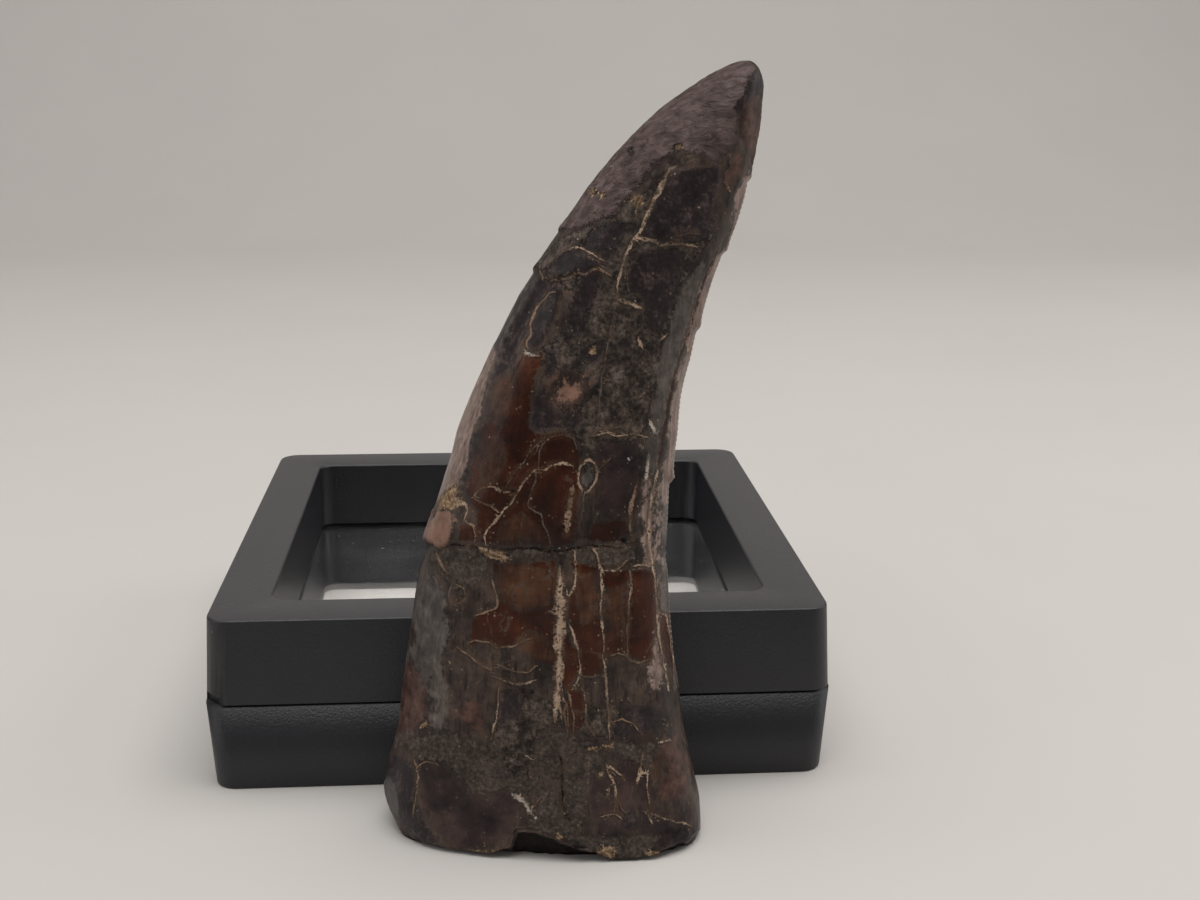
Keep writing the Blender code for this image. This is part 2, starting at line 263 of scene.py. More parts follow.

# %% [markdown]
# ## The marks on the tooth
#
# Seventy million years have broken the enamel into plates. Some have slipped or gone, the
# gaps are filled with cream calcite, and dark rock still clings to the root. None of it
# repeats, so it is drawn one by one: a crack is a route with a width, and a patch of one finish
# is an outline. Both are written as pixels of the photograph, about 0.1 mm each. The back
# isn't in the photograph. Its marks are drawn in the same way, as if seen through the tooth.

# %% Cracks on the front
# Each crack: tint, half width in pixels at its start and end, depth in mm, and its route.
BLACK, GREY, TAN, CREAM, WHITE = 0.0, 0.3, 0.55, 0.8, 1.0
FRONT_CRACKS = [
    # below the tip
    (CREAM, 2.2, 1.2, 0.08, [(676, 166), (669, 171), (661, 188), (653, 203), (646, 217), (641, 231),
        (632, 241), (626, 253), (622, 266), (618.5, 280), (617, 290)]),
    (CREAM, 1.4, 1.6, 0.08, [(633, 238), (644, 239), (654, 241.5), (662.5, 245), (672.5, 243), (684, 244),
        (696.5, 246.5)]),
    (TAN, 1.2, 1.4, 0.22, [(539, 272), (543, 277), (550, 279.5), (560, 279), (571, 278), (576, 274),
        (586, 274), (593, 270), (599.5, 268), (606, 272), (611, 275)]),
    (CREAM, 1.0, 1.0, 0.10, [(566, 251.5), (573, 246.5), (580, 247.5), (588, 252), (593, 255), (601, 259),
        (606, 261.5)]),
    (CREAM, 1.9, 1.7, -0.03, [(614.5, 298), (623, 301), (633, 304.5), (642.5, 308)]),
    (TAN, 1.1, 1.0, 0.18, [(556, 292), (550, 293), (540, 303), (536, 309.5), (530, 323), (531.5, 334),
        (525, 343), (527.5, 348)]),
    (WHITE, 1.1, 0.9, 0.10, [(525, 352.5), (531.5, 355), (541.5, 356)]),
    (GREY, 0.6, 0.5, 0.03, [(525, 355), (517, 370), (511, 384)]),
    (GREY, 0.7, 0.6, 0.03, [(610, 330), (607, 350), (603, 372), (600, 395), (598, 420), (596, 436)]),
    # above the old break
    (CREAM, 1.0, 1.5, 0.15, [(486, 543.5), (484, 536), (493, 523), (502.5, 512), (513.5, 501), (519, 490),
        (524.5, 480.5), (536, 469.5), (545, 470.5), (550.5, 465.5), (563.5, 463), (573, 466)]),
    (GREY, 0.8, 0.7, 0.06, [(537.5, 469.5), (536, 480.5), (530, 493.5), (527.5, 504.5), (528.5, 508),
        (541.5, 514), (543, 525), (549, 536), (550.5, 545)]),
    (GREY, 0.7, 0.6, 0.05, [(506, 486), (517.5, 469.5), (528.5, 454.5), (539.5, 441.5), (547, 436)]),
    (GREY, 0.7, 0.7, 0.05, [(538, 467.5), (539.5, 454.5), (543, 443.5), (552, 437), (563, 434), (574, 438),
        (577, 448)]),
    (CREAM, 1.3, 1.4, 0.12, [(474, 497), (480.5, 488), (489.5, 486.5), (497, 488), (502.5, 491.5),
        (509, 492)]),
    (BLACK, 0.9, 0.8, 0.25, [(501, 489.5), (508, 491), (516, 491)]),
    (TAN, 0.9, 0.8, 0.08, [(474, 499), (484, 504.5), (491.5, 506.5), (499, 513)]),
    (CREAM, 1.8, 1.0, 0.10, [(458, 501), (465.5, 504.5), (467.5, 512), (463, 520)]),
    (TAN, 1.0, 1.0, 0.10, [(466.5, 523), (474, 525), (475.5, 536), (474.5, 541)]),
    (CREAM, 1.4, 1.3, 0.12, [(583, 492), (579, 484), (578.5, 474), (581, 465), (587.5, 459), (594, 462),
        (597, 471), (596, 482), (590, 490), (583.5, 494)]),
    (GREY, 0.8, 0.7, 0.05, [(597, 471), (606, 462), (611.5, 456.5)]),
    (GREY, 0.8, 0.8, 0.05, [(583.5, 494), (583, 507), (581, 522)]),
    (0.65, 2.4, 3.0, -0.03, [(573, 486), (571, 499), (567.5, 517.5), (566.5, 534)]),
    (TAN, 1.4, 1.8, 0.00, [(637.5, 480.5), (634.5, 493.5), (631, 507), (630, 517.5), (631, 532.5)]),
    (GREY, 0.9, 1.0, 0.06, [(590, 432), (598, 428), (612, 429), (621, 426), (630, 432)]),
    # along the flank beside the saw teeth, brown above and cream below
    (0.12, 1.1, 1.3, 0.05, [(717, 251), (701.5, 286), (694, 313), (688, 336), (678, 359), (669, 401),
        (662, 443), (658, 469)]),
    (CREAM, 1.7, 1.2, 0.02, [(658, 469), (652, 497), (649, 525), (650, 550), (653, 566), (655, 589),
        (657, 609), (659, 637), (665, 668), (669, 690)]),
    (CREAM, 0.8, 0.7, 0.08, [(659, 613), (667, 616), (670.5, 641), (673.5, 660), (674.5, 684)]),
    (WHITE, 1.5, 1.9, -0.03, [(649, 455), (648, 466), (645.5, 482)]),
    (WHITE, 1.3, 2.4, -0.05, [(649.5, 421), (652, 427), (656, 434)]),
    (CREAM, 1.2, 1.0, -0.03, [(638, 399), (641, 395), (645.5, 391)]),
    (CREAM, 1.9, 1.9, -0.03, [(639, 339), (642, 347)]),
    (CREAM, 1.2, 1.2, -0.03, [(661, 340), (666, 335)]),
    (CREAM, 1.1, 1.1, -0.03, [(684, 336), (688, 345), (689, 352)]),
    (WHITE, 1.7, 1.7, -0.04, [(607.5, 380), (610, 380)]),
    (GREY, 1.1, 0.9, -0.02, [(677, 236), (688, 233), (699, 233)]),
    (TAN, 1.0, 1.0, 0.02, [(644, 195), (638, 203), (636, 213)]),
    (CREAM, 0.9, 0.9, 0.03, [(590, 436), (604, 433), (618, 436), (633, 434), (648, 437)]),
    # the old break that crosses the crown, and its filler
    (CREAM, 1.3, 1.8, 0.05, [(478, 547), (486, 549.5), (497, 554), (510.5, 559.5)]),
    (BLACK, 1.0, 1.0, 0.10, [(436, 548), (455, 544), (481, 548), (501, 550), (528, 548), (554, 552),
        (568, 550), (588, 545), (603, 546), (623, 548), (636, 541)]),
    (CREAM, 1.5, 1.4, 0.06, [(591.5, 548), (597.5, 554), (599.5, 565), (601.5, 570.5), (615.5, 570.5),
        (623, 565.5), (627, 559.5)]),
    (CREAM, 1.0, 1.1, 0.06, [(633, 566.5), (639, 564.5), (647, 565.5), (651, 566.5)]),
    (TAN, 1.3, 1.3, 0.05, [(436, 552), (441, 563), (446, 572)]),
    # below the break: the wide calcite vein and its neighbours
    (CREAM, 2.4, 4.0, -0.04, [(560.5, 567.5), (559.5, 589), (559, 600)]),
    (CREAM, 5.2, 4.2, -0.06, [(563, 598), (562, 609), (560, 620)]),
    (CREAM, 4.2, 3.6, -0.05, [(560, 617), (559.5, 641), (559, 664), (558, 688)]),
    (CREAM, 3.4, 0.8, -0.03, [(558, 686), (556.5, 706), (554.5, 724)]),
    (CREAM, 1.0, 2.2, 0.02, [(547.5, 613), (552, 612), (557, 615)]),
    (CREAM, 1.3, 1.2, 0.08, [(575, 551.5), (576, 569.5), (574, 587.5), (568, 598)]),
    (CREAM, 1.0, 1.1, 0.08, [(569, 625), (575, 637), (578, 652.5), (580, 668.5), (578, 682), (572, 688)]),
    (TAN, 1.1, 0.9, 0.08, [(566.5, 700), (564, 713), (566.5, 729), (568, 738)]),
    (TAN, 1.1, 0.9, 0.08, [(568.5, 694), (573, 713), (574, 733.5)]),
    (TAN, 1.0, 0.9, 0.08, [(578, 684), (584.5, 694), (586.5, 708), (585.5, 722), (595.5, 737.5)]),
    (CREAM, 1.1, 1.2, 0.10, [(600.5, 570), (602.5, 589), (600.5, 609), (602.5, 629), (604.5, 648.5),
        (603.5, 656.5), (605.5, 676), (607.5, 700), (609.5, 728), (610, 741)]),
    (TAN, 1.0, 0.9, 0.08, [(583, 676), (591.5, 677.5), (599.5, 675.5)]),
    (TAN, 0.9, 0.9, 0.08, [(602.5, 656.5), (609.5, 656.5), (617.5, 652.5), (625.5, 654.5), (631, 660.5),
        (639, 662.5), (651, 658.5)]),
    (CREAM, 1.6, 0.9, 0.08, [(630, 569.5), (631, 589), (629, 600)]),
    (TAN, 0.9, 0.8, 0.06, [(629, 600), (627, 625), (626.5, 641), (628, 656.5)]),
    (TAN, 0.8, 0.9, 0.05, [(469, 642.5), (475, 640.5), (489, 642.5), (497, 647.5), (512.5, 646.5),
        (526.5, 639.5), (532.5, 638.5)]),
    (TAN, 0.8, 1.8, 0.08, [(458, 648.5), (466, 654), (473, 658.5), (483, 666.5), (493, 670.5)]),
    (TAN, 0.9, 0.9, 0.10, [(497, 664.5), (506.5, 668.5), (516.5, 671.5), (528.5, 672.5), (536.5, 666.5)]),
    (CREAM, 1.1, 1.3, 0.10, [(493, 676.5), (500.5, 678.5), (512.5, 684), (524.5, 684), (534.5, 681)]),
    (CREAM, 1.1, 1.0, 0.08, [(498.5, 688), (498, 708), (495, 724), (491.5, 738)]),
    (TAN, 0.9, 0.9, 0.06, [(476, 615), (489, 611), (497, 608), (497, 595), (492, 578)]),
    (GREY, 0.8, 0.8, 0.05, [(452, 584), (448, 594), (450, 604), (457, 607)]),
    (TAN, 0.8, 0.8, 0.05, [(457, 585), (464, 588), (465, 598), (459, 604)]),
    (TAN, 0.8, 0.8, 0.05, [(613, 722), (622, 719), (634, 724), (641, 733)]),
    # on the root
    (BLACK, 1.0, 1.2, 0.25, [(561, 758), (563, 773.5), (562, 789), (564, 807), (568.5, 822)]),
    (BLACK, 0.8, 0.8, 0.15, [(527.5, 767), (528.5, 782.5), (527.5, 796)]),
    (TAN, 0.9, 0.7, 0.10, [(414.5, 760), (418, 778), (416, 798), (412.5, 816)]),
    (TAN, 0.7, 0.7, 0.06, [(418, 766), (426, 762), (438, 764)]),
    (CREAM, 1.2, 1.2, 0.08, [(606.5, 766), (611, 778), (616, 790), (615, 814)]),
    (CREAM, 1.1, 0.9, 0.08, [(607.5, 765), (615, 770), (622, 777)]),
    (CREAM, 0.9, 1.0, 0.08, [(602, 816), (615.5, 814), (621, 818)]),
    (TAN, 0.8, 0.8, 0.06, [(616.5, 798), (620, 805), (625, 812)]),
    (CREAM, 1.7, 1.2, 0.05, [(643.5, 753.5), (641, 769), (637, 782.5)]),
    (CREAM, 1.0, 0.9, 0.06, [(649, 769), (647, 789), (650, 807)]),
    (CREAM, 0.9, 0.9, 0.06, [(641, 774), (649, 771.5)]),
    (CREAM, 1.5, 1.1, 0.06, [(644.5, 811.5), (660, 817), (676, 823), (690, 826)]),
    (CREAM, 0.9, 0.9, 0.06, [(645.5, 812.5), (652.5, 823)]),
    (WHITE, 1.8, 2.3, 0.00, [(513, 794), (526, 803), (531.5, 814)]),
    (GREY, 2.4, 2.2, 0.00, [(535, 804.5), (548.5, 792)]),
    (WHITE, 1.2, 1.0, 0.00, [(526, 756), (532, 759)]),
    (WHITE, 1.4, 1.2, 0.00, [(660, 742.5), (669, 740)]),
    (TAN, 0.9, 0.9, 0.05, [(464, 852), (481.5, 854), (504, 852)]),
]
print(len(FRONT_CRACKS), "cracks on the front")

# %% Patches of one finish on the front
# Each patch: its finish, how far its plate stands out in mm, how soft its border is in
# pixels, and its outline.
FINISHES = ("ember", "amber", "plum", "rust", "coal", "mottle", "ash", "edge_sheen", "flesh", "matrix",
            "crumb", "worn_and_sheen")
FRONT_PATCHES = [
    # speckled ground where the enamel's skin is lost
    ("mottle", 0.0, 6, [(530, 262), (560, 240), (600, 215), (640, 190), (690, 170), (712, 200), (712, 240),
        (694, 262), (672, 330), (655, 400), (640, 440), (600, 462), (578, 445), (560, 425), (540, 430),
        (530, 400), (540, 350), (560, 340), (575, 290), (548, 285)]),
    ("mottle", 0.0, 8, [(500, 706), (520, 694), (560, 706), (600, 708), (650, 706), (668, 716), (660, 742),
        (600, 742), (549, 727), (513, 736), (490, 742)]),
    # the worn, wrinkled tip, its grey partly painted sheen, and the two flat red scars beside its edge
    ("worn_and_sheen", 0.0, 7, [(555, 226), (564, 229), (586, 224), (613, 213), (628, 197), (641, 183), (661, 158),
        (679, 150), (702, 157), (719, 164), (727, 152), (739, 143), (746, 110), (752, 91), (770, 60),
        (720, 45), (640, 90)]),
    ("coal", 0.0, 1, [(757, 60), (766, 78), (766, 97), (754, 96), (745, 104), (738, 113), (734, 108),
        (744, 94), (752, 78)]),
    ("rust", -0.08, 1, [(755, 96), (764, 98), (763, 126), (754, 166), (748, 158), (738, 139), (738, 122),
        (745, 105)]),
    ("rust", -0.06, 3, [(739, 154), (744, 163), (741, 176), (734, 192), (726, 186), (724, 176),
        (731, 164)]),
    # enamel beside the two cutting edges, painted pale as sheen where the light grazes it
    ("edge_sheen", 0.0, 3, [(750, 172), (741, 185), (735, 205), (730, 228), (724, 246), (710, 268), (701, 292),
        (693, 318), (685, 345), (678, 375), (672, 405), (667, 440), (663, 465), (661, 480), (657, 500),
        (655, 530), (657, 560), (659, 590), (661, 612), (690, 612), (690, 500), (700, 440), (710, 380),
        (730, 320), (760, 240), (775, 170)]),
    ("edge_sheen", 0.0, 2, [(500, 342), (492, 366), (485, 396), (475, 430), (465, 468), (455, 500), (425, 500),
        (440, 455), (455, 400), (476, 350), (492, 334)]),
    ("edge_sheen", 0.0, 8, [(642, 436), (650, 436), (649, 500), (651, 560), (655, 610), (661, 680), (652, 690),
        (646, 600), (642, 520)]),
    # black enamel
    ("coal", 0.10, 3, [(676, 168), (719, 167), (714, 190), (708, 238), (690, 243), (655, 240), (642, 236),
        (655, 203), (668, 180)]),
    ("coal", 0.0, 5, [(630, 258), (650, 250), (684, 254), (682, 280), (660, 330), (648, 330), (644, 300),
        (628, 290)]),
    ("coal", 0.0, 5, [(590, 232), (616, 218), (628, 225), (606, 262), (594, 300), (578, 335), (566, 340),
        (574, 300), (580, 262)]),
    ("coal", -0.04, 3, [(541, 272), (522, 288), (502, 320), (492, 344), (502, 344), (495, 368), (487, 401),
        (479, 430), (468, 468), (461, 503), (473, 497), (482, 470), (488, 440), (500, 400), (512, 362),
        (525, 330), (532, 310), (548, 285)]),
    ("coal", -0.10, 3, [(545, 352), (556, 352), (556, 370), (546, 390), (552, 400), (556, 415), (552, 428),
        (542, 434), (530, 428), (531, 402), (540, 378)]),
    ("coal", 0.0, 4, [(584, 345), (604, 340), (606, 352), (596, 362), (580, 358)]),
    ("coal", 0.0, 4, [(556, 412), (580, 410), (582, 418), (575, 428), (560, 428)]),
    ("coal", -0.15, 3, [(618, 762), (636, 759), (641, 769), (634, 784), (622, 778)]),
    ("coal", 0.0, 6, [(622, 705), (650, 705), (662, 716), (656, 736), (616, 736)]),
    ("coal", 0.0, 4, [(500, 690), (520, 694), (522, 716), (512, 728), (497, 725), (497, 710)]),
    # plates of grey enamel
    ("coal", 0.14, 3, [(549, 294), (541, 303), (531, 324), (527, 343), (535, 350), (548, 335), (556, 312),
        (562, 290), (552, 285)]),
    ("coal", 0.14, 2, [(566, 252), (580, 248), (604, 262), (600, 267), (576, 272), (560, 276), (546, 276),
        (550, 262)]),
    # this grey strip beside the saw-toothed edge is partly grey enamel and partly painted sheen
    ("ash", 0.0, 4, [(706, 258), (698, 286), (690, 313), (682, 340), (675, 366), (667, 405), (660, 444),
        (655, 472), (644, 476), (646, 440), (653, 400), (662, 350), (674, 310), (688, 280)]),
    ("ash", -0.06, 2, [(583, 487), (581, 475), (584, 465), (588, 462), (593, 467), (594, 478), (588, 488)]),
    ("ash", 0.0, 8, [(416, 588), (428, 576), (444, 590), (447, 640), (440, 668), (425, 662), (413, 630)]),
    ("ash", 0.0, 10, [(396, 650), (432, 650), (446, 690), (452, 738), (420, 744), (388, 744)]),
    ("rust", 0.0, 18, [(396, 660), (416, 664), (430, 694), (432, 734), (392, 736)]),
    ("crumb", 0.01, 0, [(418, 726), (428, 722), (430, 727), (420, 730)]),
    ("ash", 0.0, 8, [(662, 500), (690, 500), (690, 690), (676, 690), (668, 640), (660, 612)]),
    ("coal", 0.0, 4, [(384, 752), (414, 762), (417, 800), (436, 846), (415, 842), (395, 815), (380, 790)]),
    ("plum", 0.0, 8, [(600, 440), (636, 445), (640, 480), (632, 520), (600, 520), (598, 480)]),
    # red-brown enamel that glows a little
    ("ember", 0.0, 10, [(478, 440), (560, 436), (578, 450), (575, 545), (480, 545), (474, 500)]),
    ("ember", 0.0, 4, [(525, 357), (543, 356), (539, 377), (530, 401), (528.5, 429), (539, 440),
        (528, 455), (506, 486), (480, 486), (473, 495), (466, 488), (474, 458), (486, 418), (501, 377)]),
    ("ember", 0.04, 3, [(543, 444), (558, 435), (576, 441), (573, 458), (551, 462), (540, 467)]),
    ("ember", 0.02, 3, [(539, 472), (570, 468), (576, 484), (567, 506), (563, 527), (558, 544), (491, 543),
        (497, 525), (513, 503), (524, 485)]),
    ("ember", 0.05, 2, [(460, 525), (472, 525), (474, 541), (460, 542)]),
    ("ember", 0.04, 2, [(475, 499), (487, 496), (491, 500), (488, 505), (479, 503)]),
    ("ember", 0.0, 5, [(590, 524), (625, 520), (632, 532), (618, 544), (588, 542)]),
    ("ember", 0.08, 2, [(491, 562), (520, 560), (556, 560), (555, 600), (556, 668), (540, 664), (528, 660),
        (530, 640), (516, 645), (497, 646), (485, 641), (471, 646), (471, 623), (479, 615), (497, 609),
        (498, 589)]),
    ("ember", 0.10, 1.5, [(569, 562), (598, 568), (600.5, 609), (602.5, 656), (599.5, 674), (584, 676),
        (578, 648), (568, 623), (570, 599), (576, 570)]),
    ("ember", 0.12, 1.5, [(604, 572), (628, 570), (629, 609), (627, 652), (617, 651.5), (605, 656)]),
    ("ember", 0.12, 1.5, [(632, 572), (652, 568), (655, 609), (652, 658), (639, 662), (630, 656)]),
    ("ember", 0.06, 2, [(563, 629), (577, 653), (579, 672), (568, 686), (563, 684)]),
    ("ember", 0.0, 2, [(660, 615), (667, 619), (671, 645), (673, 668), (667, 670), (661, 640)]),
    ("plum", 0.0, 6, [(421, 764), (444, 762), (464, 789), (495, 794), (513, 793), (530, 814), (526, 834),
        (495, 842), (466, 850), (444, 846), (428, 825), (421, 794)]),
    ("rust", 0.0, 16, [(458, 706), (484, 704), (488, 730), (470, 736), (460, 726)]),
    ("ember", 0.0, 4, [(568, 690), (582, 690), (584, 722), (576, 735), (566, 725)]),
    ("amber", 0.0, 7, [(484, 436), (500, 430), (506, 460), (496, 484), (476, 482), (476, 458)]),
    ("amber", 0.0, 7, [(500, 378), (514, 372), (514, 400), (502, 424), (492, 420)]),
    ("amber", 0.0, 6, [(500, 522), (520, 512), (540, 526), (544, 540), (498, 540)]),
    ("amber", 0.0, 6, [(500, 566), (530, 564), (552, 570), (548, 606), (520, 612), (502, 600)]),
    ("amber", 0.0, 5, [(574, 574), (594, 574), (596, 616), (580, 626)]),
    ("amber", 0.0, 5, [(608, 590), (624, 584), (624, 636), (610, 640)]),
    ("amber", 0.0, 5, [(516, 640), (526, 628), (548, 636), (550, 660), (530, 656)]),
    ("rust", 0.0, 9, [(636, 746), (660, 736), (678, 738), (690, 767), (687, 790), (672, 804), (656, 798),
        (650, 780), (640, 766)]),
    ("amber", 0.0, 10, [(634, 742), (652, 736), (662, 752), (660, 784), (648, 778), (642, 758)]),
    ("plum", 0.0, 6, [(655, 812), (676, 812), (700, 806), (704, 848), (660, 852), (650, 838)]),
    # smooth pink-brown plates, and a patch that only tints the speckles
    ("flesh", 0.22, 2, [(440, 509), (453, 508), (454, 526), (452, 541), (437, 547), (428, 541), (419, 538),
        (430, 520)]),
    ("rust", 0.0, 14, [(542, 382), (558, 370), (584, 376), (592, 396), (574, 408), (548, 404)]),
    ("flesh", 0.0, 12, [(556, 384), (566, 378), (580, 384), (580, 396), (564, 400), (555, 394)]),
    # dark rock and old glue
    ("matrix", 0.06, 4, [(428, 556), (450, 545), (482, 552), (487, 566), (478, 580), (468, 590),
        (452, 590), (441, 577), (434, 566)]),
    ("matrix", 0.05, 3, [(482, 549), (528, 549), (554, 553), (588, 546), (632, 542), (636, 556),
        (622, 566), (600, 564), (568, 557), (540, 556), (513, 559)]),
    ("matrix", 0.05, 5, [(400, 742), (417, 738), (444, 731), (466, 738), (482, 745), (499, 740),
        (513, 736), (540, 733), (549, 727), (566, 734), (582, 740), (611, 742), (638, 745), (658, 742),
        (649, 765), (618, 762), (594, 774), (589, 800), (582, 834), (660, 836), (648, 860), (600, 862),
        (555, 846), (526, 834), (533, 814), (513, 789), (495, 791), (466, 787), (444, 760), (419, 760)]),
    ("plum", 0.0, 8, [(590, 772), (618, 764), (650, 768), (655, 800), (645, 832), (600, 832), (588, 800)]),
    ("coal", 0.0, 4, [(622, 812), (636, 808), (642, 822), (634, 834), (624, 828)]),
    ("crumb", 0.03, 0, [(597, 771), (602, 769), (603, 777), (598, 779)]),
    ("crumb", 0.01, 0, [(606, 792), (609, 788), (611, 797), (608, 800)]),
    ("crumb", 0.04, 0, [(556, 841), (562, 840), (563, 848), (558, 850)]),
    ("crumb", 0.03, 1, [(470, 850), (500, 851), (502, 855), (472, 856)]),
    ("crumb", 0.04, 0, [(512, 768), (516, 767), (518, 773), (513, 774)]),
    ("mottle", 0.0, 6, [(508, 722), (532, 712), (538, 726), (530, 760), (512, 776), (503, 760)]),
    ("crumb", 0.02, 0, [(590, 191), (595, 190), (596, 195), (591, 196)]),
    ("crumb", 0.02, 0, [(599, 196), (603, 194), (604, 198), (600, 199)]),
    ("crumb", 0.02, 0, [(677, 147), (682, 147), (682, 150), (678, 150)]),
    ("crumb", 0.02, 0, [(628, 150), (632, 149), (632, 153), (629, 153)]),
    ("crumb", 0.02, 0, [(634, 196), (640, 194), (643, 203), (638, 208), (634, 204)]),
    ("crumb", 0.02, 0, [(727, 186), (731, 186), (731, 192), (728, 192)]),
    ("crumb", 0.03, 0, [(590, 345), (597, 346), (598, 353), (592, 355), (588, 350)]),
    # crumbly calcite
    ("crumb", 0.10, 3, [(438, 508), (441, 496), (456, 486), (463, 494), (466, 505), (455, 511),
        (446, 509)]),
    ("crumb", 0.05, 3, [(586, 750), (598, 745), (610, 746), (612, 749), (600, 752)]),
    ("crumb", 0.10, 2, [(600, 852), (610, 850), (614, 857), (606, 862), (598, 860)]),
    ("crumb", 0.10, 2, [(646, 854), (655, 850), (659, 856), (652, 861)]),
    ("crumb", 0.05, 3, [(478, 547), (500, 551), (512, 557), (505, 562), (486, 556)]),
]
print(len(FRONT_PATCHES), "patches on the front")

# %% Pits and knobs on the front
# Each: depth in mm (a knob is negative), radius in pixels, and its middle.
FRONT_PITS = [
    (0.40, 2.6, (563.5, 527)), (0.45, 3.4, (624, 541)), (0.40, 3.2, (521, 690)), (0.35, 2.6, (532, 692)),
    (0.35, 2.4, (433, 515)), (0.15, 3.0, (627, 831)), (0.12, 3.0, (639, 821)), (0.25, 2.6, (452, 560)),
    (0.25, 2.4, (458, 590)), (0.30, 2.5, (461, 597)), (-0.18, 3.2, (669, 171)), (-0.16, 3.4, (652.5, 231)),
    (-0.18, 3.6, (557, 292)), (-0.14, 2.6, (611, 275)), (-0.16, 2.6, (608.8, 380)),
        (-0.18, 3.6, (651, 429)),
    (-0.14, 3.0, (575, 554)), (-0.16, 2.6, (595.5, 759)), (-0.18, 3.0, (566, 753)),
        (-0.15, 2.4, (558.5, 845)),
    (0.20, 2.2, (551, 297)), (0.22, 2.4, (583, 345)), (0.20, 2.4, (606, 338)),
]
print(len(FRONT_PITS), "pits and knobs on the front")

# %% Marks on the back, as if seen through the tooth
BACK_CRACKS = [
    (TAN, 1.4, 1.4, 0.20, [(537, 271), (556, 263), (575, 268), (592, 262), (618, 270), (645, 264),
        (676, 272), (712, 262)]),
    (CREAM, 1.2, 2.6, 0.05, [(664, 176), (656, 200), (650, 232), (640, 262), (634, 300), (630, 345),
        (622, 392), (616, 440), (612, 492), (606, 545)]),
    (CREAM, 2.8, 1.0, -0.03, [(606, 556), (602, 598), (603, 640), (598, 684), (600, 716), (594, 736)]),
    (GREY, 1.2, 1.2, 0.12, [(429, 544), (452, 551), (480, 546), (512, 553), (548, 548), (584, 554),
        (622, 547), (668, 553)]),
    (CREAM, 1.0, 1.3, 0.06, [(498, 556), (503, 590), (497, 628), (501, 668), (495, 706), (499, 738)]),
    (TAN, 0.9, 1.0, 0.06, [(552, 557), (548, 590), (553, 632), (549, 672), (556, 700), (552, 735)]),
    (TAN, 1.0, 0.8, 0.08, [(644, 560), (640, 600), (646, 648), (642, 690), (650, 728)]),
    (TAN, 0.9, 0.9, 0.10, [(446, 640), (470, 634), (486, 642), (499, 636)]),
    (TAN, 0.9, 0.9, 0.10, [(503, 668), (520, 676), (538, 670), (551, 674)]),
    (TAN, 0.9, 0.9, 0.10, [(556, 628), (574, 622), (590, 630), (603, 624)]),
    (GREY, 0.7, 0.7, 0.05, [(470, 420), (498, 430), (526, 424), (556, 438), (588, 432), (618, 440)]),
    (CREAM, 1.0, 1.2, 0.12, [(618, 440), (600, 462), (580, 470), (566, 492), (544, 503), (530, 524),
        (512, 552)]),
    (GREY, 0.7, 0.6, 0.05, [(580, 470), (576, 500), (582, 526), (578, 550)]),
    (GREY, 0.7, 0.6, 0.05, [(514, 330), (536, 336), (560, 328), (588, 338), (632, 330)]),
    (WHITE, 1.3, 1.0, 0.06, [(571, 300), (583, 304), (596, 300)]),
    (TAN, 0.9, 1.1, 0.10, [(640, 262), (650, 285), (668, 300), (684, 296), (700, 304)]),
    (GREY, 0.8, 0.7, 0.05, [(640, 345), (652, 372), (646, 402), (654, 440), (648, 480)]),
    (BLACK, 1.0, 1.2, 0.20, [(470, 754), (474, 780), (468, 806), (473, 830)]),
    (BLACK, 0.9, 1.0, 0.18, [(628, 752), (624, 776), (630, 800), (626, 828)]),
    (CREAM, 1.1, 1.0, 0.06, [(540, 760), (552, 776), (548, 796), (560, 812)]),
    (CREAM, 1.0, 1.0, 0.06, [(548, 796), (532, 806), (520, 822)]),
    (WHITE, 1.6, 1.3, 0.00, [(580, 770), (592, 778), (598, 790)]),
]
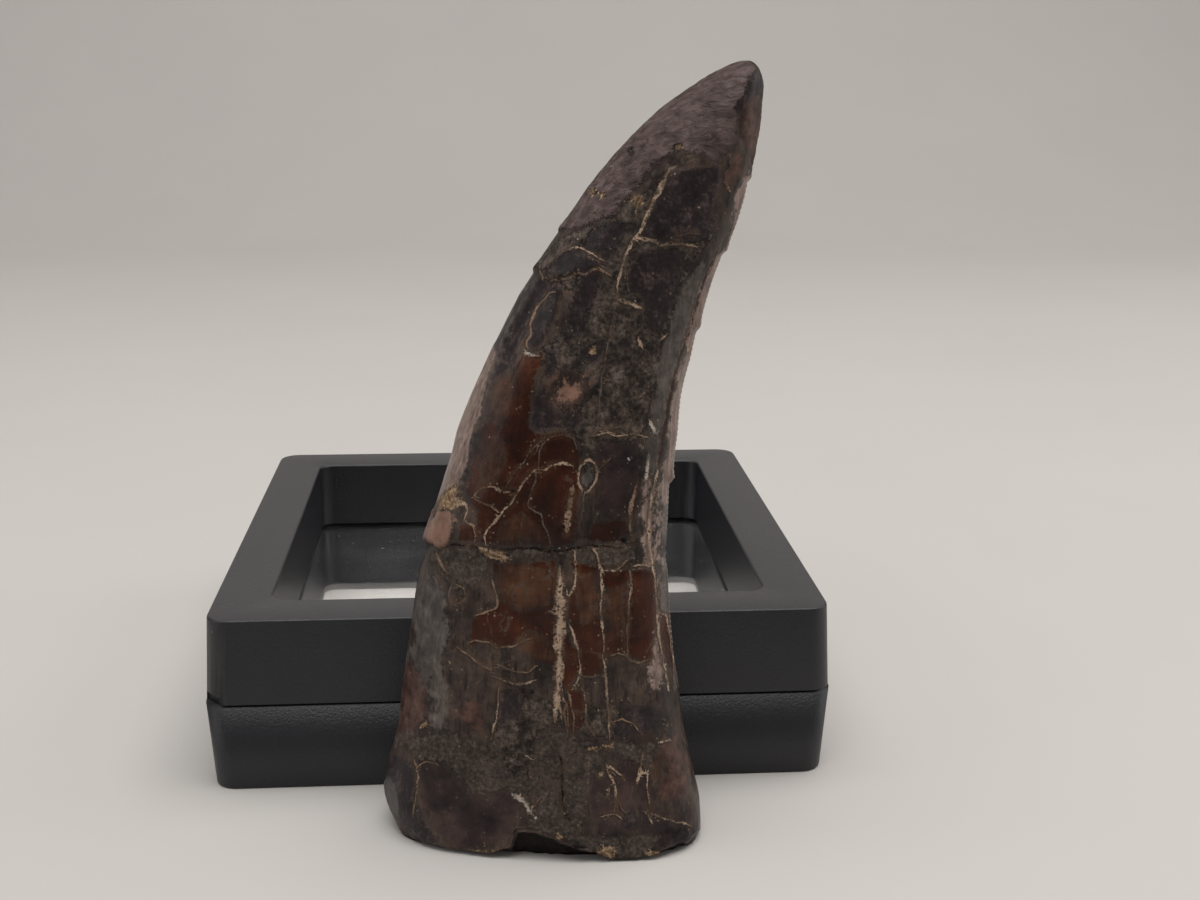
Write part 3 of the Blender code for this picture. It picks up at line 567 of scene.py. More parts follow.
BACK_PATCHES = [
    ("mottle", 0.0, 6, [(540, 262), (580, 240), (640, 200), (700, 200), (716, 250), (690, 300), (660, 400),
        (620, 452), (570, 440), (530, 400), (540, 340)]),
    ("mottle", 0.0, 6, [(400, 690), (470, 700), (560, 690), (660, 696), (672, 742), (600, 748), (500, 740),
        (400, 748)]),
    ("edge_sheen", 0.0, 3, [(752, 172), (744, 190), (738, 215), (728, 246), (714, 270), (705, 295), (698, 320),
        (690, 350), (683, 380), (676, 410), (671, 445), (667, 480), (664, 520), (664, 560), (666, 612),
        (700, 612), (700, 440), (720, 360), (790, 170)]),
    ("edge_sheen", 0.0, 3, [(528, 283), (502, 327), (486, 368), (470, 414), (458, 468), (450, 500), (420, 500),
        (440, 440), (470, 350), (510, 290)]),
    ("worn_and_sheen", 0.0, 5, [(552, 236), (572, 226), (600, 232), (640, 205), (668, 196), (700, 204), (730, 190),
        (775, 150), (775, 40), (700, 40), (630, 100)]),
    ("coal", 0.0, 4, [(640, 270), (690, 276), (686, 330), (660, 352), (636, 340)]),
    ("coal", 0.06, 3, [(560, 340), (604, 336), (612, 390), (600, 424), (560, 430), (548, 390)]),
    ("coal", 0.0, 3, [(470, 440), (486, 432), (480, 500), (466, 540), (452, 536)]),
    ("coal", 0.0, 4, [(560, 680), (594, 690), (592, 732), (560, 736)]),
    ("ash", 0.14, 2, [(545, 276), (575, 272), (618, 276), (626, 318), (590, 336), (556, 326), (530, 330)]),
    ("ash", 0.0, 3, [(430, 560), (452, 566), (448, 640), (440, 716), (398, 716), (404, 640)]),
    ("ash", 0.0, 3, [(648, 350), (672, 356), (660, 470), (652, 540), (640, 536), (646, 440)]),
    ("ember", 0.06, 2, [(488, 446), (560, 446), (572, 470), (544, 500), (526, 522), (508, 544), (470, 542),
        (474, 500)]),
    ("ember", 0.04, 2, [(584, 474), (610, 450), (608, 500), (602, 542), (584, 546), (586, 520)]),
    ("ember", 0.08, 1.5, [(504, 560), (546, 562), (544, 600), (549, 632), (546, 668), (522, 674),
        (504, 664), (500, 630), (506, 592)]),
    ("ember", 0.10, 1.5, [(556, 562), (602, 560), (598, 600), (599, 620), (574, 618), (558, 624),
        (552, 592)]),
    ("ember", 0.08, 1.5, [(612, 560), (638, 562), (636, 600), (641, 648), (637, 690), (612, 690),
        (608, 640)]),
    ("ember", 0.06, 1.5, [(453, 566), (494, 562), (498, 590), (492, 628), (470, 632), (452, 636)]),
    ("ember", 0.0, 4, [(420, 770), (456, 762), (462, 800), (455, 836), (424, 830), (408, 800)]),
    ("ember", 0.0, 4, [(640, 760), (672, 754), (684, 790), (672, 826), (640, 830)]),
    ("flesh", 0.18, 1.5, [(424, 510), (446, 506), (450, 540), (424, 546), (416, 530)]),
    ("rust", -0.08, 2, [(742, 118), (760, 104), (757, 150), (744, 168), (736, 146)]),
    ("rust", 0.0, 6, [(600, 360), (632, 352), (640, 388), (618, 400), (602, 390)]),
    ("matrix", 0.05, 2, [(430, 545), (480, 548), (548, 550), (622, 549), (668, 555), (668, 562),
        (610, 562), (548, 558), (480, 560), (430, 556)]),
    ("matrix", 0.05, 4, [(385, 744), (440, 734), (500, 744), (560, 736), (620, 744), (690, 734),
        (712, 780), (660, 760), (600, 768), (590, 830), (640, 840), (690, 838), (690, 870), (400, 870),
        (420, 842), (470, 838), (480, 772), (430, 762), (400, 776)]),
    ("crumb", 0.06, 2, [(508, 742), (528, 738), (540, 746), (520, 752)]),
    ("crumb", 0.06, 2, [(586, 548), (604, 545), (612, 552), (596, 558)]),
    ("crumb", 0.06, 2, [(648, 840), (664, 836), (668, 846), (654, 850)]),
    ("crumb", 0.05, 3, [(424, 700), (440, 690), (446, 716), (430, 724)]),
]
BACK_PITS = [
    (0.40, 3.0, (520, 560)), (0.35, 2.6, (587, 600)), (0.40, 3.0, (560, 512)), (0.35, 3.0, (632, 712)),
    (-0.16, 3.0, (600, 286)), (-0.16, 2.6, (636, 420)), (0.30, 2.6, (660, 480)), (0.35, 3.0, (500, 800)),
    (-0.18, 3.2, (640, 768)), (0.25, 2.4, (680, 190)), (-0.16, 3.0, (556, 742)),
]
print(len(BACK_CRACKS), "cracks and", len(BACK_PATCHES), "patches on the back")

# %% [markdown]
# ## Carving
#
# Sculpting in code means moving points. Every mark is measured as a distance on the
# photograph's plane, turned into a height in millimetres, and added along the surface's
# normal. The distances are also kept on the mesh as attributes, so the material paints a
# crack exactly where it is carved. The distance to a crack is signed, left or right of it:
# such a number runs evenly through the crack, so a thin line stays sharp between points.

# %% Measure the blank
points = mesh_points(tooth_mesh)
normals = np.array([vert.normal for vert in tooth_mesh.vertices])
local = in_tooth(points)
pixels = photo_place(points)
towards_camera = np.array(CAMERA_PLACE) - points
towards_camera /= np.linalg.norm(towards_camera, axis=1)[:, None]
facing = (normals * towards_camera).sum(axis=1)
on_front = facing > -0.10
POINT_COUNT = len(points)


def noise_field(wavelength, seed):
    """Smooth noise from -1 to 1 at every point of the tooth, with features of that size in mm."""
    offset = Vector((seed, 2.7 * seed, -1.9 * seed))
    return np.array([noise.noise(Vector(place) + offset) for place in local / wavelength])


swell = noise_field(2.6, 3)
lump = noise_field(1.1, 11)
grit = noise_field(0.45, 23)
wobble = np.stack([noise_field(0.9, 31), noise_field(0.9, 47)], axis=1)
drift = np.stack([noise_field(2.2, 59), noise_field(2.2, 71)], axis=1)
print(POINT_COUNT, "points,", int(on_front.sum()), "of them on the front")

# %% Distances to routes and outlines
MARK_REACH = 14.0  # pixels round a mark in which it is measured
FAR_AWAY = 1e9


def near_mark(places, route, eligible):
    """Indices of the eligible places close to a route."""
    corners = np.array(route)
    low = corners.min(axis=0) - MARK_REACH
    high = corners.max(axis=0) + MARK_REACH
    return np.flatnonzero(eligible & (places > low).all(axis=1) & (places < high).all(axis=1))


def to_route(places, route):
    """Distance of each place to a route, the side it lies on, and its share of the way along."""
    corners = np.array(route, dtype=float)
    lengths = np.linalg.norm(np.diff(corners, axis=0), axis=1)
    passed = np.concatenate([[0], np.cumsum(lengths)])
    distance = np.full(len(places), FAR_AWAY)
    side = np.ones(len(places))
    travel = np.zeros(len(places))
    for index, length in enumerate(lengths):
        start, end = corners[index], corners[index + 1]
        run = end - start
        offset = places - start
        share = np.clip(offset @ run / length ** 2, 0, 1)
        gap = np.linalg.norm(offset - share[:, None] * run, axis=1)
        closer = gap < distance
        distance[closer] = gap[closer]
        side[closer] = np.sign(run[0] * offset[closer, 1] - run[1] * offset[closer, 0])
        travel[closer] = passed[index] + share[closer] * length
    return distance, side, travel / passed[-1]


def to_outline(places, outline):
    """Distance of each place to a closed outline, negative inside it."""
    distance = to_route(places, outline + outline[:1])[0]
    inside = np.zeros(len(places), dtype=bool)
    for (x0, y0), (x1, y1) in zip(outline, outline[1:] + outline[:1]):
        if y0 == y1:
            continue
        crosses = (places[:, 1] > min(y0, y1)) & (places[:, 1] <= max(y0, y1))
        edge_x = x0 + (places[:, 1] - y0) * (x1 - x0) / (y1 - y0)
        inside ^= crosses & (places[:, 0] < edge_x)
    return np.where(inside, -distance, distance)


# %% Paint and raise the patches
PATCH_DRIFT, PATCH_WOBBLE = 3.0, 1.4  # pixels that an outline wanders, broadly and finely
PATCH_BLUR = 5.0  # pixels: a wide border gives the material's noise room to break it up
PLATE_EDGE = 1.6  # pixels over which a plate's edge drops
finish_cover = {finish: np.zeros(POINT_COUNT) for finish in FINISHES}
lift = np.zeros(POINT_COUNT)  # mm along the normal


def lay_patches(patches, eligible):
    places = pixels + PATCH_DRIFT * drift + PATCH_WOBBLE * wobble
    for finish, proud, softness, outline in patches:
        chosen = near_mark(places, outline, eligible)
        distance = to_outline(places[chosen], outline)
        cover = smooth_step(softness + PATCH_BLUR, -softness - PATCH_BLUR, distance)
        for other in FINISHES:
            finish_cover[other][chosen] *= 1 - cover
        finish_cover[finish][chosen] += cover
        lift[chosen] += proud * smooth_step(PLATE_EDGE, -PLATE_EDGE, distance)


lay_patches(FRONT_PATCHES, on_front)
lay_patches(BACK_PATCHES, ~on_front)
for finish, cover in finish_cover.items():
    print(finish, "covers", round(100 * cover.mean(), 1), "% of the points")

# %% Cut the cracks and pits
CRACK_WOBBLE = 1.3  # pixels that a crack wanders
THIN_CRACK = 0.78  # all but the wide veins are drawn a little too wide
WIDE_VEIN = 2.3  # half width in pixels from which a crack counts as a wide vein
FILLED_SHARE = 0.25  # depth left where calcite fills a crack
TAPER, TAPER_POWER = 0.7, 12  # a crack thins by this share, close to its ends
SIDE_LIMIT = 6  # half widths beyond which the side no longer matters
CARVED_HALF_WIDTH = 1.7  # the finest groove, in pixels, that the mesh can hold
crack_out = np.full(POINT_COUNT, 20.0)  # pixels from the crack's border
crack_side = np.full(POINT_COUNT, 9.0)  # signed, 1 at the crack's border
crack_tint = np.zeros(POINT_COUNT)
groove = np.zeros(POINT_COUNT)
pit_depth = np.zeros(POINT_COUNT)


def cut_cracks(cracks, eligible):
    places = pixels + CRACK_WOBBLE * wobble
    for tint, start, end, depth, route in cracks:
        chosen = near_mark(places, route, eligible)
        distance, side, share = to_route(places[chosen], route)
        taper = 1 - TAPER * abs(2 * share - 1) ** TAPER_POWER
        slim = THIN_CRACK if max(start, end) < WIDE_VEIN else 1.0
        half = (start + (end - start) * share) * taper * slim
        out = distance - half
        closer = out < crack_out[chosen]
        mine = chosen[closer]
        crack_out[mine] = out[closer]
        crack_side[mine] = (side * distance / half)[closer]
        crack_tint[mine] = tint
        filled = FILLED_SHARE if tint > GREY else 1.0
        groove_width = np.maximum(half, CARVED_HALF_WIDTH)
        cut = depth * filled * (1 - smooth_step(0.3, 1.0, distance / groove_width))
        deeper = abs(cut) > abs(groove[chosen])
        groove[chosen[deeper]] = cut[deeper]


def sink_pits(pits, eligible):
    for depth, radius, middle in pits:
        distance = np.linalg.norm(pixels + wobble - np.array(middle), axis=1)
        cut = depth * np.exp(-((distance / radius) ** 2)) * eligible
        pit_depth[:] = np.where(abs(cut) > abs(pit_depth), cut, pit_depth)


cut_cracks(FRONT_CRACKS, on_front)
cut_cracks(BACK_CRACKS, ~on_front)
sink_pits(FRONT_PITS, on_front)
sink_pits(BACK_PITS, ~on_front)
crack_side = np.clip(crack_side, -SIDE_LIMIT, SIDE_LIMIT)
lift -= groove + pit_depth
print("deepest mark", round(max(groove.max(), pit_depth.max()), 2), "mm")

# %% The worn front edge: a low beaded ridge
# Close to the outline on the left, where the tooth's front cutting edge bends inwards.
RIDGE_ROUTE = [(540, 268), (535, 286), (510, 326), (503, 343), (494, 368), (484, 401), (478, 414),
               (465.5, 468), (458, 499), (453.5, 525)]
RIDGE_HEIGHT = 0.14  # mm
RIDGE_HALF_WIDTH = 2.4  # pixels
BEAD_PITCH = 4.8  # pixels
RIDGE_START = 0.35  # share of the route over which the ridge rises
chosen = near_mark(pixels, RIDGE_ROUTE, on_front)
distance, side, share = to_route(pixels[chosen] + 0.5 * wobble[chosen], RIDGE_ROUTE)
ridge_length = np.linalg.norm(np.diff(np.array(RIDGE_ROUTE), axis=0), axis=1).sum()
beads = 0.5 + 0.5 * np.cos(2 * math.pi * share * ridge_length / BEAD_PITCH)
ridge = np.exp(-((distance / RIDGE_HALF_WIDTH) ** 2)) * smooth_step(0.0, RIDGE_START, share)
lift[chosen] += RIDGE_HEIGHT * ridge * (0.55 + 0.45 * beads)
bead_tops = np.zeros(POINT_COUNT)
bead_tops[chosen] = ridge * beads ** 2
print("beaded ridge:", round(ridge_length / 10), "mm long")

# %% Saw teeth on the back edge
# Narrow grooves a little over half a millimetre apart. They are crisp low on the blade and
# worn away towards the tip.
SAW_PITCH = 0.55  # mm
SAW_DEPTH = 0.20  # mm
SAW_SHARPNESS = 3.0
edge_distance = from_edge(local)
edge_travel = np.interp(local[:, 2], edge_heights, edge_length)
cuts = (0.5 + 0.5 * np.cos(2 * math.pi * edge_travel / SAW_PITCH)) ** SAW_SHARPNESS
kept = smooth_step(15, 22, local[:, 2]) * (1 - 0.75 * smooth_step(44, 52, local[:, 2]))
kept *= 1 - smooth_step(66, 73, local[:, 2])
kept *= 0.75 + 0.5 * swell
saw = SAW_DEPTH * cuts * kept * (1 - smooth_step(0.1, SAW_BAND, edge_distance))
print("saw teeth:", int((SAW_RANGE[1] - SAW_RANGE[0]) / SAW_PITCH))

# %% Chips that show in the outline
# Each pair: a row of the photograph, and how far the outline stands out there in pixels.
SAW_SIDE_CHIPS = [(60, 0), (168, 0), (178, 1.5), (182, -1.5), (200, 0), (240, 0.5), (250, 2), (255, -1.5),
                  (285, 0), (316, 1.5), (326, 3), (333, -0.5), (360, 0), (395, -2), (420, -1), (470, 2),
                  (478, 4), (483, 0), (488, -1), (500, 0), (900, 0)]
FRONT_SIDE_CHIPS = [(60, 0), (216, 0), (228, 2), (231, -1), (245, 0), (258, 0.5), (268, 2.5), (273, -2),
                    (290, 0), (430, 0), (458, -3), (500, -3), (520, -1), (534, 1.5), (541, 2.5), (545, -2),
                    (556, -2), (575, 0), (900, 0)]
CHIP_REACH = 5.0  # pixels from the outline over which a chip fades out
PIXEL_MM = 0.11  # about the size of a pixel on the tooth
rows = np.arange(60, 880, 3)
left_side = np.empty(len(rows))
right_side = np.empty(len(rows))
for index, row in enumerate(rows):
    across = pixels[abs(pixels[:, 1] - row) < 3, 0]
    left_side[index], right_side[index] = (across.min(), across.max()) if len(across) else (0, 0)


def outline_chip(chips, side):
    rows_given, shifts = np.array(chips).T
    from_side = abs(pixels[:, 0] - np.interp(pixels[:, 1], rows, side))
    return np.interp(pixels[:, 1], rows_given, shifts) * np.exp(-((from_side / CHIP_REACH) ** 2))


chip_pixels = outline_chip(SAW_SIDE_CHIPS, right_side) - outline_chip(FRONT_SIDE_CHIPS, left_side)
pixel_size = np.linalg.norm(np.array(CAMERA_PLACE) - points, axis=1) / FOCAL_PIXELS
chip_moves = (chip_pixels * pixel_size)[:, None] * np.array(camera_right)
print("chips move the outline by up to", round(abs(chip_pixels).max() * PIXEL_MM, 2), "mm")

# %% [markdown]
# ## The broken foot
#
# The root snapped off, so its lower rim is a row of small flat breaks, and part of the
# underside is missing. A flat break is a plane: whatever stands beyond it is pushed back
# onto it. Each plane is given by the way it faces and by how deep it bites into the rim.

# %% Break the foot
# Each: the way it faces in degrees round the tooth, its tilt towards the floor, and its bite in mm.
BREAKS = [(205, 0, 0.3), (183, 30, 0.15), (196, 58, 0.2), (214, 38, 0.3), (228, 62, 0.45), (243, 40, 0.35),
          (256, 64, 0.4), (270, 34, 0.3), (284, 60, 0.5), (297, 30, 0.4), (311, 57, 0.55), (326, 26, 0.4),
          (341, 50, 0.3), (357, 12, 0.15), (8, 55, 0.25), (26, 30, 0.3), (48, 58, 0.9), (72, 28, 0.6),
          (90, 55, 1.0), (112, 36, 0.8), (133, 60, 0.9), (154, 28, 0.4), (169, 56, 0.4)]
BREAK_TOP = 14.0  # mm above the floor
# How high the lower rim stands over the floor: pixel column of the photograph and mm.
RIM_HEIGHTS = [(380, 0), (512, 0), (515, 2.2), (535, 2.2), (545, 1.95), (560, 1.7), (580, 1.35), (595, 1.1),
               (605, 0.5), (610, 0), (645, 0.1), (650, 0), (655, 0.2), (661, 0.8), (686, 0.9), (691, 0.3),
               (697, 0.3), (701, 0.9), (720, 0.9)]
GAP_DEPTH = 1.7  # mm that a gap reaches in under the tooth, up to a wall in deep shade
GAP_WALL = 0.6  # share of that depth at which the wall starts


def break_foot(places):
    """Push what stands beyond a flat break back onto it."""
    foot = places[:, 2] < BREAK_TOP * MM
    for facing_angle, tilt, bite in BREAKS:
        around, down = math.radians(facing_angle), math.radians(tilt)
        outward = np.array([math.cos(around) * math.cos(down), math.sin(around) * math.cos(down),
                            -math.sin(down)])
        reach = places[foot] @ outward
        beyond = np.maximum(reach - (reach.max() - bite * MM), 0)
        places[foot] -= beyond[:, None] * outward
    return places


def rim_gap(places):
    """How far each point has to rise for the lower rim's height, in mm, and where shade is painted under it.
    """
    on_rim = on_front & (places[:, 2] < RIM_TOP)
    columns = np.arange(376, 716, 4)
    solid_rim = [places[on_rim & (abs(pixels[:, 0] - column) < 3), 2].min(initial=RIM_TOP)
                 for column in columns]
    wanted = np.interp(pixels[:, 0], *np.array(RIM_HEIGHTS).T) + 0.3 * np.maximum(lump, 0)
    missing = np.maximum(wanted - np.interp(pixels[:, 0], columns, solid_rim) / MM, 0)
    low = 1 - smooth_step(1.0, 4.5, places[:, 2] / MM)
    rim_x = np.arange(-25, 26)
    rim_y = [places[on_rim & (abs(places[:, 0] / MM - x) < 1.2), 1].min(initial=1.0) for x in rim_x]
    inwards = (places[:, 1] - np.interp(places[:, 0] / MM, rim_x, rim_y)) / MM
    wall = smooth_step(GAP_WALL * GAP_DEPTH, GAP_DEPTH, inwards)
    rises = missing * (1 - wall) * low - (places[:, 2] / MM) * sole * wall
    return rises, (wanted > 0.7) * sole * (inwards > 0.15)


sole = (normals[:, 2] < SOLE_SLOPE) & (points[:, 2] < RIM_TOP)
print(len(BREAKS), "flat breaks and", int(sole.sum()), "points on the underside")

# %% Move the points
TIP_START, TIP_ROUNDS = 77.8, 5  # mm above the floor: the very tip is worn round
ENAMEL_GRAIN = 0.012  # mm of roughness, and what each finish adds to it
ADDED_GRAIN = {"matrix": 0.060, "crumb": 0.12, "worn_and_sheen": 0.040, "mottle": 0.050}
rough = ENAMEL_GRAIN + sum(grain * finish_cover[finish] for finish, grain in ADDED_GRAIN.items())
lift += rough * (0.6 * grit + 0.7 * lump) + 0.05 * swell
rim = (1 - smooth_step(0.5, 4.5, points[:, 2] / MM)) * smooth_step(0.25, 0.6, abs(facing))
lift -= rim * (0.30 * abs(lump) + 0.45 * np.maximum(swell, 0) + 0.10 * abs(grit))
lift -= 0.6 * saw
saw_direction = np.array(tooth_turn) @ np.array([1, 0, 0])
carved = points + normals * (lift * MM)[:, None] + chip_moves
carved -= saw_direction * (saw * MM)[:, None]
carved = break_foot(carved)
raised, shade = rim_gap(carved)
carved[:, 2] += raised * MM
carved[:, 2] = np.maximum(carved[:, 2], 0.0)
carved = np.clip(carved, *(np.array(corner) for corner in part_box("tooth")))
tooth_mesh.vertices.foreach_set("co", carved.ravel())
bm = bmesh.new()
bm.from_mesh(tooth_mesh)
tip = [vert for vert in bm.verts if vert.co.z > TIP_START * MM]
for _ in range(TIP_ROUNDS):
    bmesh.ops.smooth_vert(bm, verts=tip, factor=0.5, use_axis_x=True, use_axis_y=True, use_axis_z=True)
bm.to_mesh(tooth_mesh)
bm.free()
tooth_mesh.update()
tooth_mesh.shade_smooth()

# how deep each point lies in a groove or pit; the material paints it dark by this depth, as painted shade
hollow = np.maximum(groove, 0) + np.maximum(pit_depth, 0)
# the gap's underside joins the hollows, so that it is painted in deep shade
hollow = np.maximum(hollow, 0.5 * shade)
saw_rim = smooth_step(0.34, 0.06, edge_distance) * kept * (1 - cuts)
for name, values in {**finish_cover, "crack_out": crack_out, "crack_side": crack_side,
                     "crack_tint": crack_tint, "hollow": hollow, "saw": saw,
                     "bead_tops": bead_tops, "saw_rim": saw_rim}.items():
    kept_values = tooth_mesh.attributes.new(name, "FLOAT", "POINT")
    kept_values.data.foreach_set("value", values.astype(np.float32))

tooth = put_in_scene("tooth_fossil", tooth_mesh)
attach(tooth, "root")
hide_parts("tooth")
print("carved by up to", round(abs(lift).max(), 2), "mm")

# %% [markdown]
# ## A few words for building materials
#
# Every material here is a stack: a base colour, then one layer after another laid over it
# by a mask. Short functions make the stack readable. All patterns are set in millimetres
# on the object's own coordinates, so they stay put from every side.

# %% Small helpers for material nodes


class Paint:
    """A material under construction: its nodes, its shader and a few ways to add layers."""

    def __init__(self, name):
        self.material = bpy.data.materials.new(name)
        self.material.use_nodes = True
        self.tree = self.material.node_tree
        self.shader = self.tree.nodes["Principled BSDF"]
        self.place = self.node("ShaderNodeTexCoord").outputs["Object"]

    def node(self, kind, inputs=(), **settings):
        made = self.tree.nodes.new(kind)
        for key, value in settings.items():
            setattr(made, key, value)
        for socket, value in dict(inputs).items():
            self.fill(made.inputs[socket], value)
        return made

    def fill(self, socket, value):
        if isinstance(value, bpy.types.NodeSocket):
            self.tree.links.new(value, socket)
        else:
            socket.default_value = value

    def set(self, socket, value):
        self.fill(self.shader.inputs[socket], value)

    def maths(self, operation, first, second=0.0):
        made = self.node("ShaderNodeMath", {0: first, 1: second}, operation=operation)
        return made.outputs[0]

    def times(self, first, *others):
        for other in others:
            first = self.maths("MULTIPLY", first, other)
        return first

    def plus(self, first, *others):
        for other in others:
            first = self.maths("ADD", first, other)
        return first

    def most(self, first, *others):
        for other in others:
            first = self.maths("MAXIMUM", first, other)
        return first

    def other_than(self, mask):
        return self.maths("SUBTRACT", 1.0, mask)

    def attribute(self, name):
        return self.node("ShaderNodeAttribute", attribute_name=name).outputs["Fac"]

    def ramp_mask(self, low, high, value):
        """0 below low and 1 above high, eased between them; low may be the larger."""
        made = self.node("ShaderNodeMapRange", {"Value": value, "From Min": low, "From Max": high},
                         interpolation_type="SMOOTHSTEP")
        return made.outputs["Result"]

    def wander(self, size, reach):
        """The object's coordinates pushed about by up to reach mm, for ragged shapes."""
        scaled = self.node("ShaderNodeMapping", {"Vector": self.place, "Scale": (1 / (size * MM),) * 3})
        push = self.node("ShaderNodeTexNoise", {"Vector": scaled.outputs[0], "Scale": 1.0, "Detail": 3.0})
        centred = self.node("ShaderNodeVectorMath", {0: push.outputs["Color"], 1: (0.5, 0.5, 0.5)},
                            operation="SUBTRACT")
        moved = self.node("ShaderNodeVectorMath", {0: centred.outputs[0], "Scale": 2 * reach * MM},
                          operation="SCALE")
        return self.node("ShaderNodeVectorMath", {0: self.place, 1: moved.outputs[0]}).outputs[0]

    def pattern(self, size, detail=3.0, roughness=0.55, stretch=(1, 1, 1), turn=(0, 0, 0), warp=0.0):
        """Noise from 0 to 1 with features of that size in mm, stretched along its own axes."""
        scale = tuple(1 / (size * MM * part) for part in stretch)
        mapped = self.node("ShaderNodeMapping", {"Vector": self.place, "Rotation": turn, "Scale": scale})
        made = self.node("ShaderNodeTexNoise", {"Vector": mapped.outputs[0], "Scale": 1.0, "Detail": detail,
                                                "Roughness": roughness, "Distortion": warp})
        return made.outputs["Fac"]

    def cells(self, size, feature="F1", stretch=(1, 1, 1), turn=(0, 0, 0), place=None):
        """Random cells of about that size in mm."""
        scale = tuple(1 / (size * MM * part) for part in stretch)
        start = self.place if place is None else place
        mapped = self.node("ShaderNodeMapping", {"Vector": start, "Rotation": turn, "Scale": scale})
        return self.node("ShaderNodeTexVoronoi", {"Vector": mapped.outputs[0], "Scale": 1.0}, feature=feature)

    def lots(self, cells):
        """Two random numbers drawn for each cell."""
        split = self.node("ShaderNodeSeparateColor", {"Color": cells.outputs["Color"]})
        return split.outputs["Red"], split.outputs["Green"]

    def colours(self, value, stops):
        """A colour ramp: stops are (place, (red, green, blue))."""
        made = self.node("ShaderNodeValToRGB", {"Fac": value})
        ramp = made.color_ramp
        while len(ramp.elements) < len(stops):
            ramp.elements.new(0.5)
        for element, (place, colour) in zip(ramp.elements, stops):
            element.position = place
            element.color = (*colour, 1.0)
        return made.outputs["Color"]

    def layer(self, under, over, mask):
        """One colour laid over another where the mask is 1."""
        made = self.node("ShaderNodeMix", data_type="RGBA")
        self.fill(made.inputs["Factor"], mask)
        for socket, value in ((made.inputs[6], under), (made.inputs[7], over)):
            self.fill(socket, (*value, 1.0) if isinstance(value, tuple) else value)
        return made.outputs[2]

    def blend(self, under, over, mask):
        """The same for plain numbers."""
        made = self.node("ShaderNodeMix", data_type="FLOAT")
        self.fill(made.inputs["Factor"], mask)
        self.fill(made.inputs[2], under)
        self.fill(made.inputs[3], over)
        return made.outputs[0]

    def bump(self, height, depth, under=None):
        """A bump whose full height stands for the given depth in mm."""
        made = self.node("ShaderNodeBump", {"Height": height, "Strength": 1.0, "Distance": depth * MM})
        if under is not None:
            self.fill(made.inputs["Normal"], under)
        return made.outputs["Normal"]


print("helpers ready")

# %% [markdown]
# ## The fossil's finish
#
# The enamel is polished but dark, brown to black, with fine streaks along the tooth. Where
# it is thinner a warm red-brown shows through. The tip is worn matte and wrinkled, rock
# filler is dull and gritty, and calcite is cream and crumbly. Each finish reads its own
# attribute, roughened by noise so that borders look broken and not brushed on.

# %% Patterns that the finishes share
TOOTH_TILT = (LEAN, 0.0, TURN)  # turns the patterns upright on the tooth
ALONG = (1.0, 1.0, 7.0)

fossil = Paint("fossil_enamel")
broad = fossil.pattern(7.0, detail=5.0, roughness=0.6, turn=TOOTH_TILT)
medium = fossil.pattern(1.7, detail=6.0, roughness=0.66)
fine = fossil.pattern(0.42, detail=5.0, roughness=0.68)
streaks = fossil.pattern(0.50, detail=5.0, roughness=0.6, stretch=ALONG, turn=TOOTH_TILT, warp=0.4)
hair = fossil.pattern(0.16, detail=2.0, stretch=(1, 1, 14), turn=TOOTH_TILT)
flakes = fossil.cells(2.6, stretch=(0.8, 0.8, 1.5), turn=TOOTH_TILT, place=fossil.wander(1.4, 0.9))
flake_tone = fossil.lots(flakes)[0]


def centred(value, strength):
    return fossil.times(fossil.maths("SUBTRACT", value, 0.5), strength)


ragged = fossil.plus(centred(medium, 1.5), centred(fine, 1.3))


def finish_mask(name, sharpness=0.12, break_up=1.0):
    """Where a finish shows: its attribute, with noise added so that the border breaks up."""
    value = fossil.plus(fossil.attribute(name), fossil.times(ragged, break_up))
    return fossil.ramp_mask(0.5 - sharpness, 0.5 + sharpness, value)


masks = {finish: finish_mask(finish) for finish in FINISHES}
ember_mask = finish_mask("ember", 0.12, 0.5)
amber_mask = fossil.times(finish_mask("amber", 0.4, 0.3), 0.65)
print(len(masks), "finishes on the fossil")

# %% Mix the fossil finish


def coat(under, mask, value, stops):
    """A finish laid over the rest: a ramp of colours on a pattern, where its mask says."""
    return fossil.layer(under, fossil.colours(value, stops), mask)


SOOT = (0.005, 0.004, 0.004)
broad_and_medium = fossil.blend(broad, medium, 0.45)
colour = fossil.colours(fossil.plus(broad_and_medium, centred(flake_tone, 0.10)),
                        [(0.36, (0.014, 0.010, 0.009)), (0.47, (0.042, 0.029, 0.024)),
                         (0.56, (0.080, 0.054, 0.042)), (0.68, (0.142, 0.096, 0.070))])
colour = fossil.layer(colour, (0.105, 0.081, 0.066), fossil.times(fossil.ramp_mask(0.56, 0.74, streaks), 0.6))
colour = fossil.layer(colour, SOOT, fossil.times(fossil.ramp_mask(0.47, 0.34, streaks), 0.6))
medium_and_fine = fossil.blend(medium, fine, 0.45)
colour = coat(colour, masks["mottle"], medium_and_fine,
              [(0.40, (0.010, 0.008, 0.007)), (0.48, (0.037, 0.027, 0.022)), (0.54, (0.076, 0.057, 0.047)),
               (0.60, (0.144, 0.110, 0.090)), (0.68, (0.333, 0.263, 0.213))])
colour = coat(colour, ember_mask, fossil.blend(fossil.blend(broad, medium, 0.25), streaks, 0.14),
              [(0.34, (0.010, 0.004, 0.003)), (0.46, (0.029, 0.008, 0.004)),
               (0.56, (0.058, 0.015, 0.006)), (0.68, (0.115, 0.036, 0.012))])
colour = coat(colour, amber_mask, fossil.blend(fossil.blend(broad, medium, 0.35), streaks, 0.22),
              [(0.36, (0.024, 0.008, 0.004)), (0.48, (0.058, 0.018, 0.006)),
               (0.60, (0.118, 0.039, 0.012)), (0.70, (0.180, 0.070, 0.024))])
colour = coat(colour, masks["plum"], fossil.blend(broad, medium, 0.4),
              [(0.38, (0.011, 0.007, 0.008)), (0.50, (0.037, 0.023, 0.022)), (0.62, (0.083, 0.050, 0.044))])
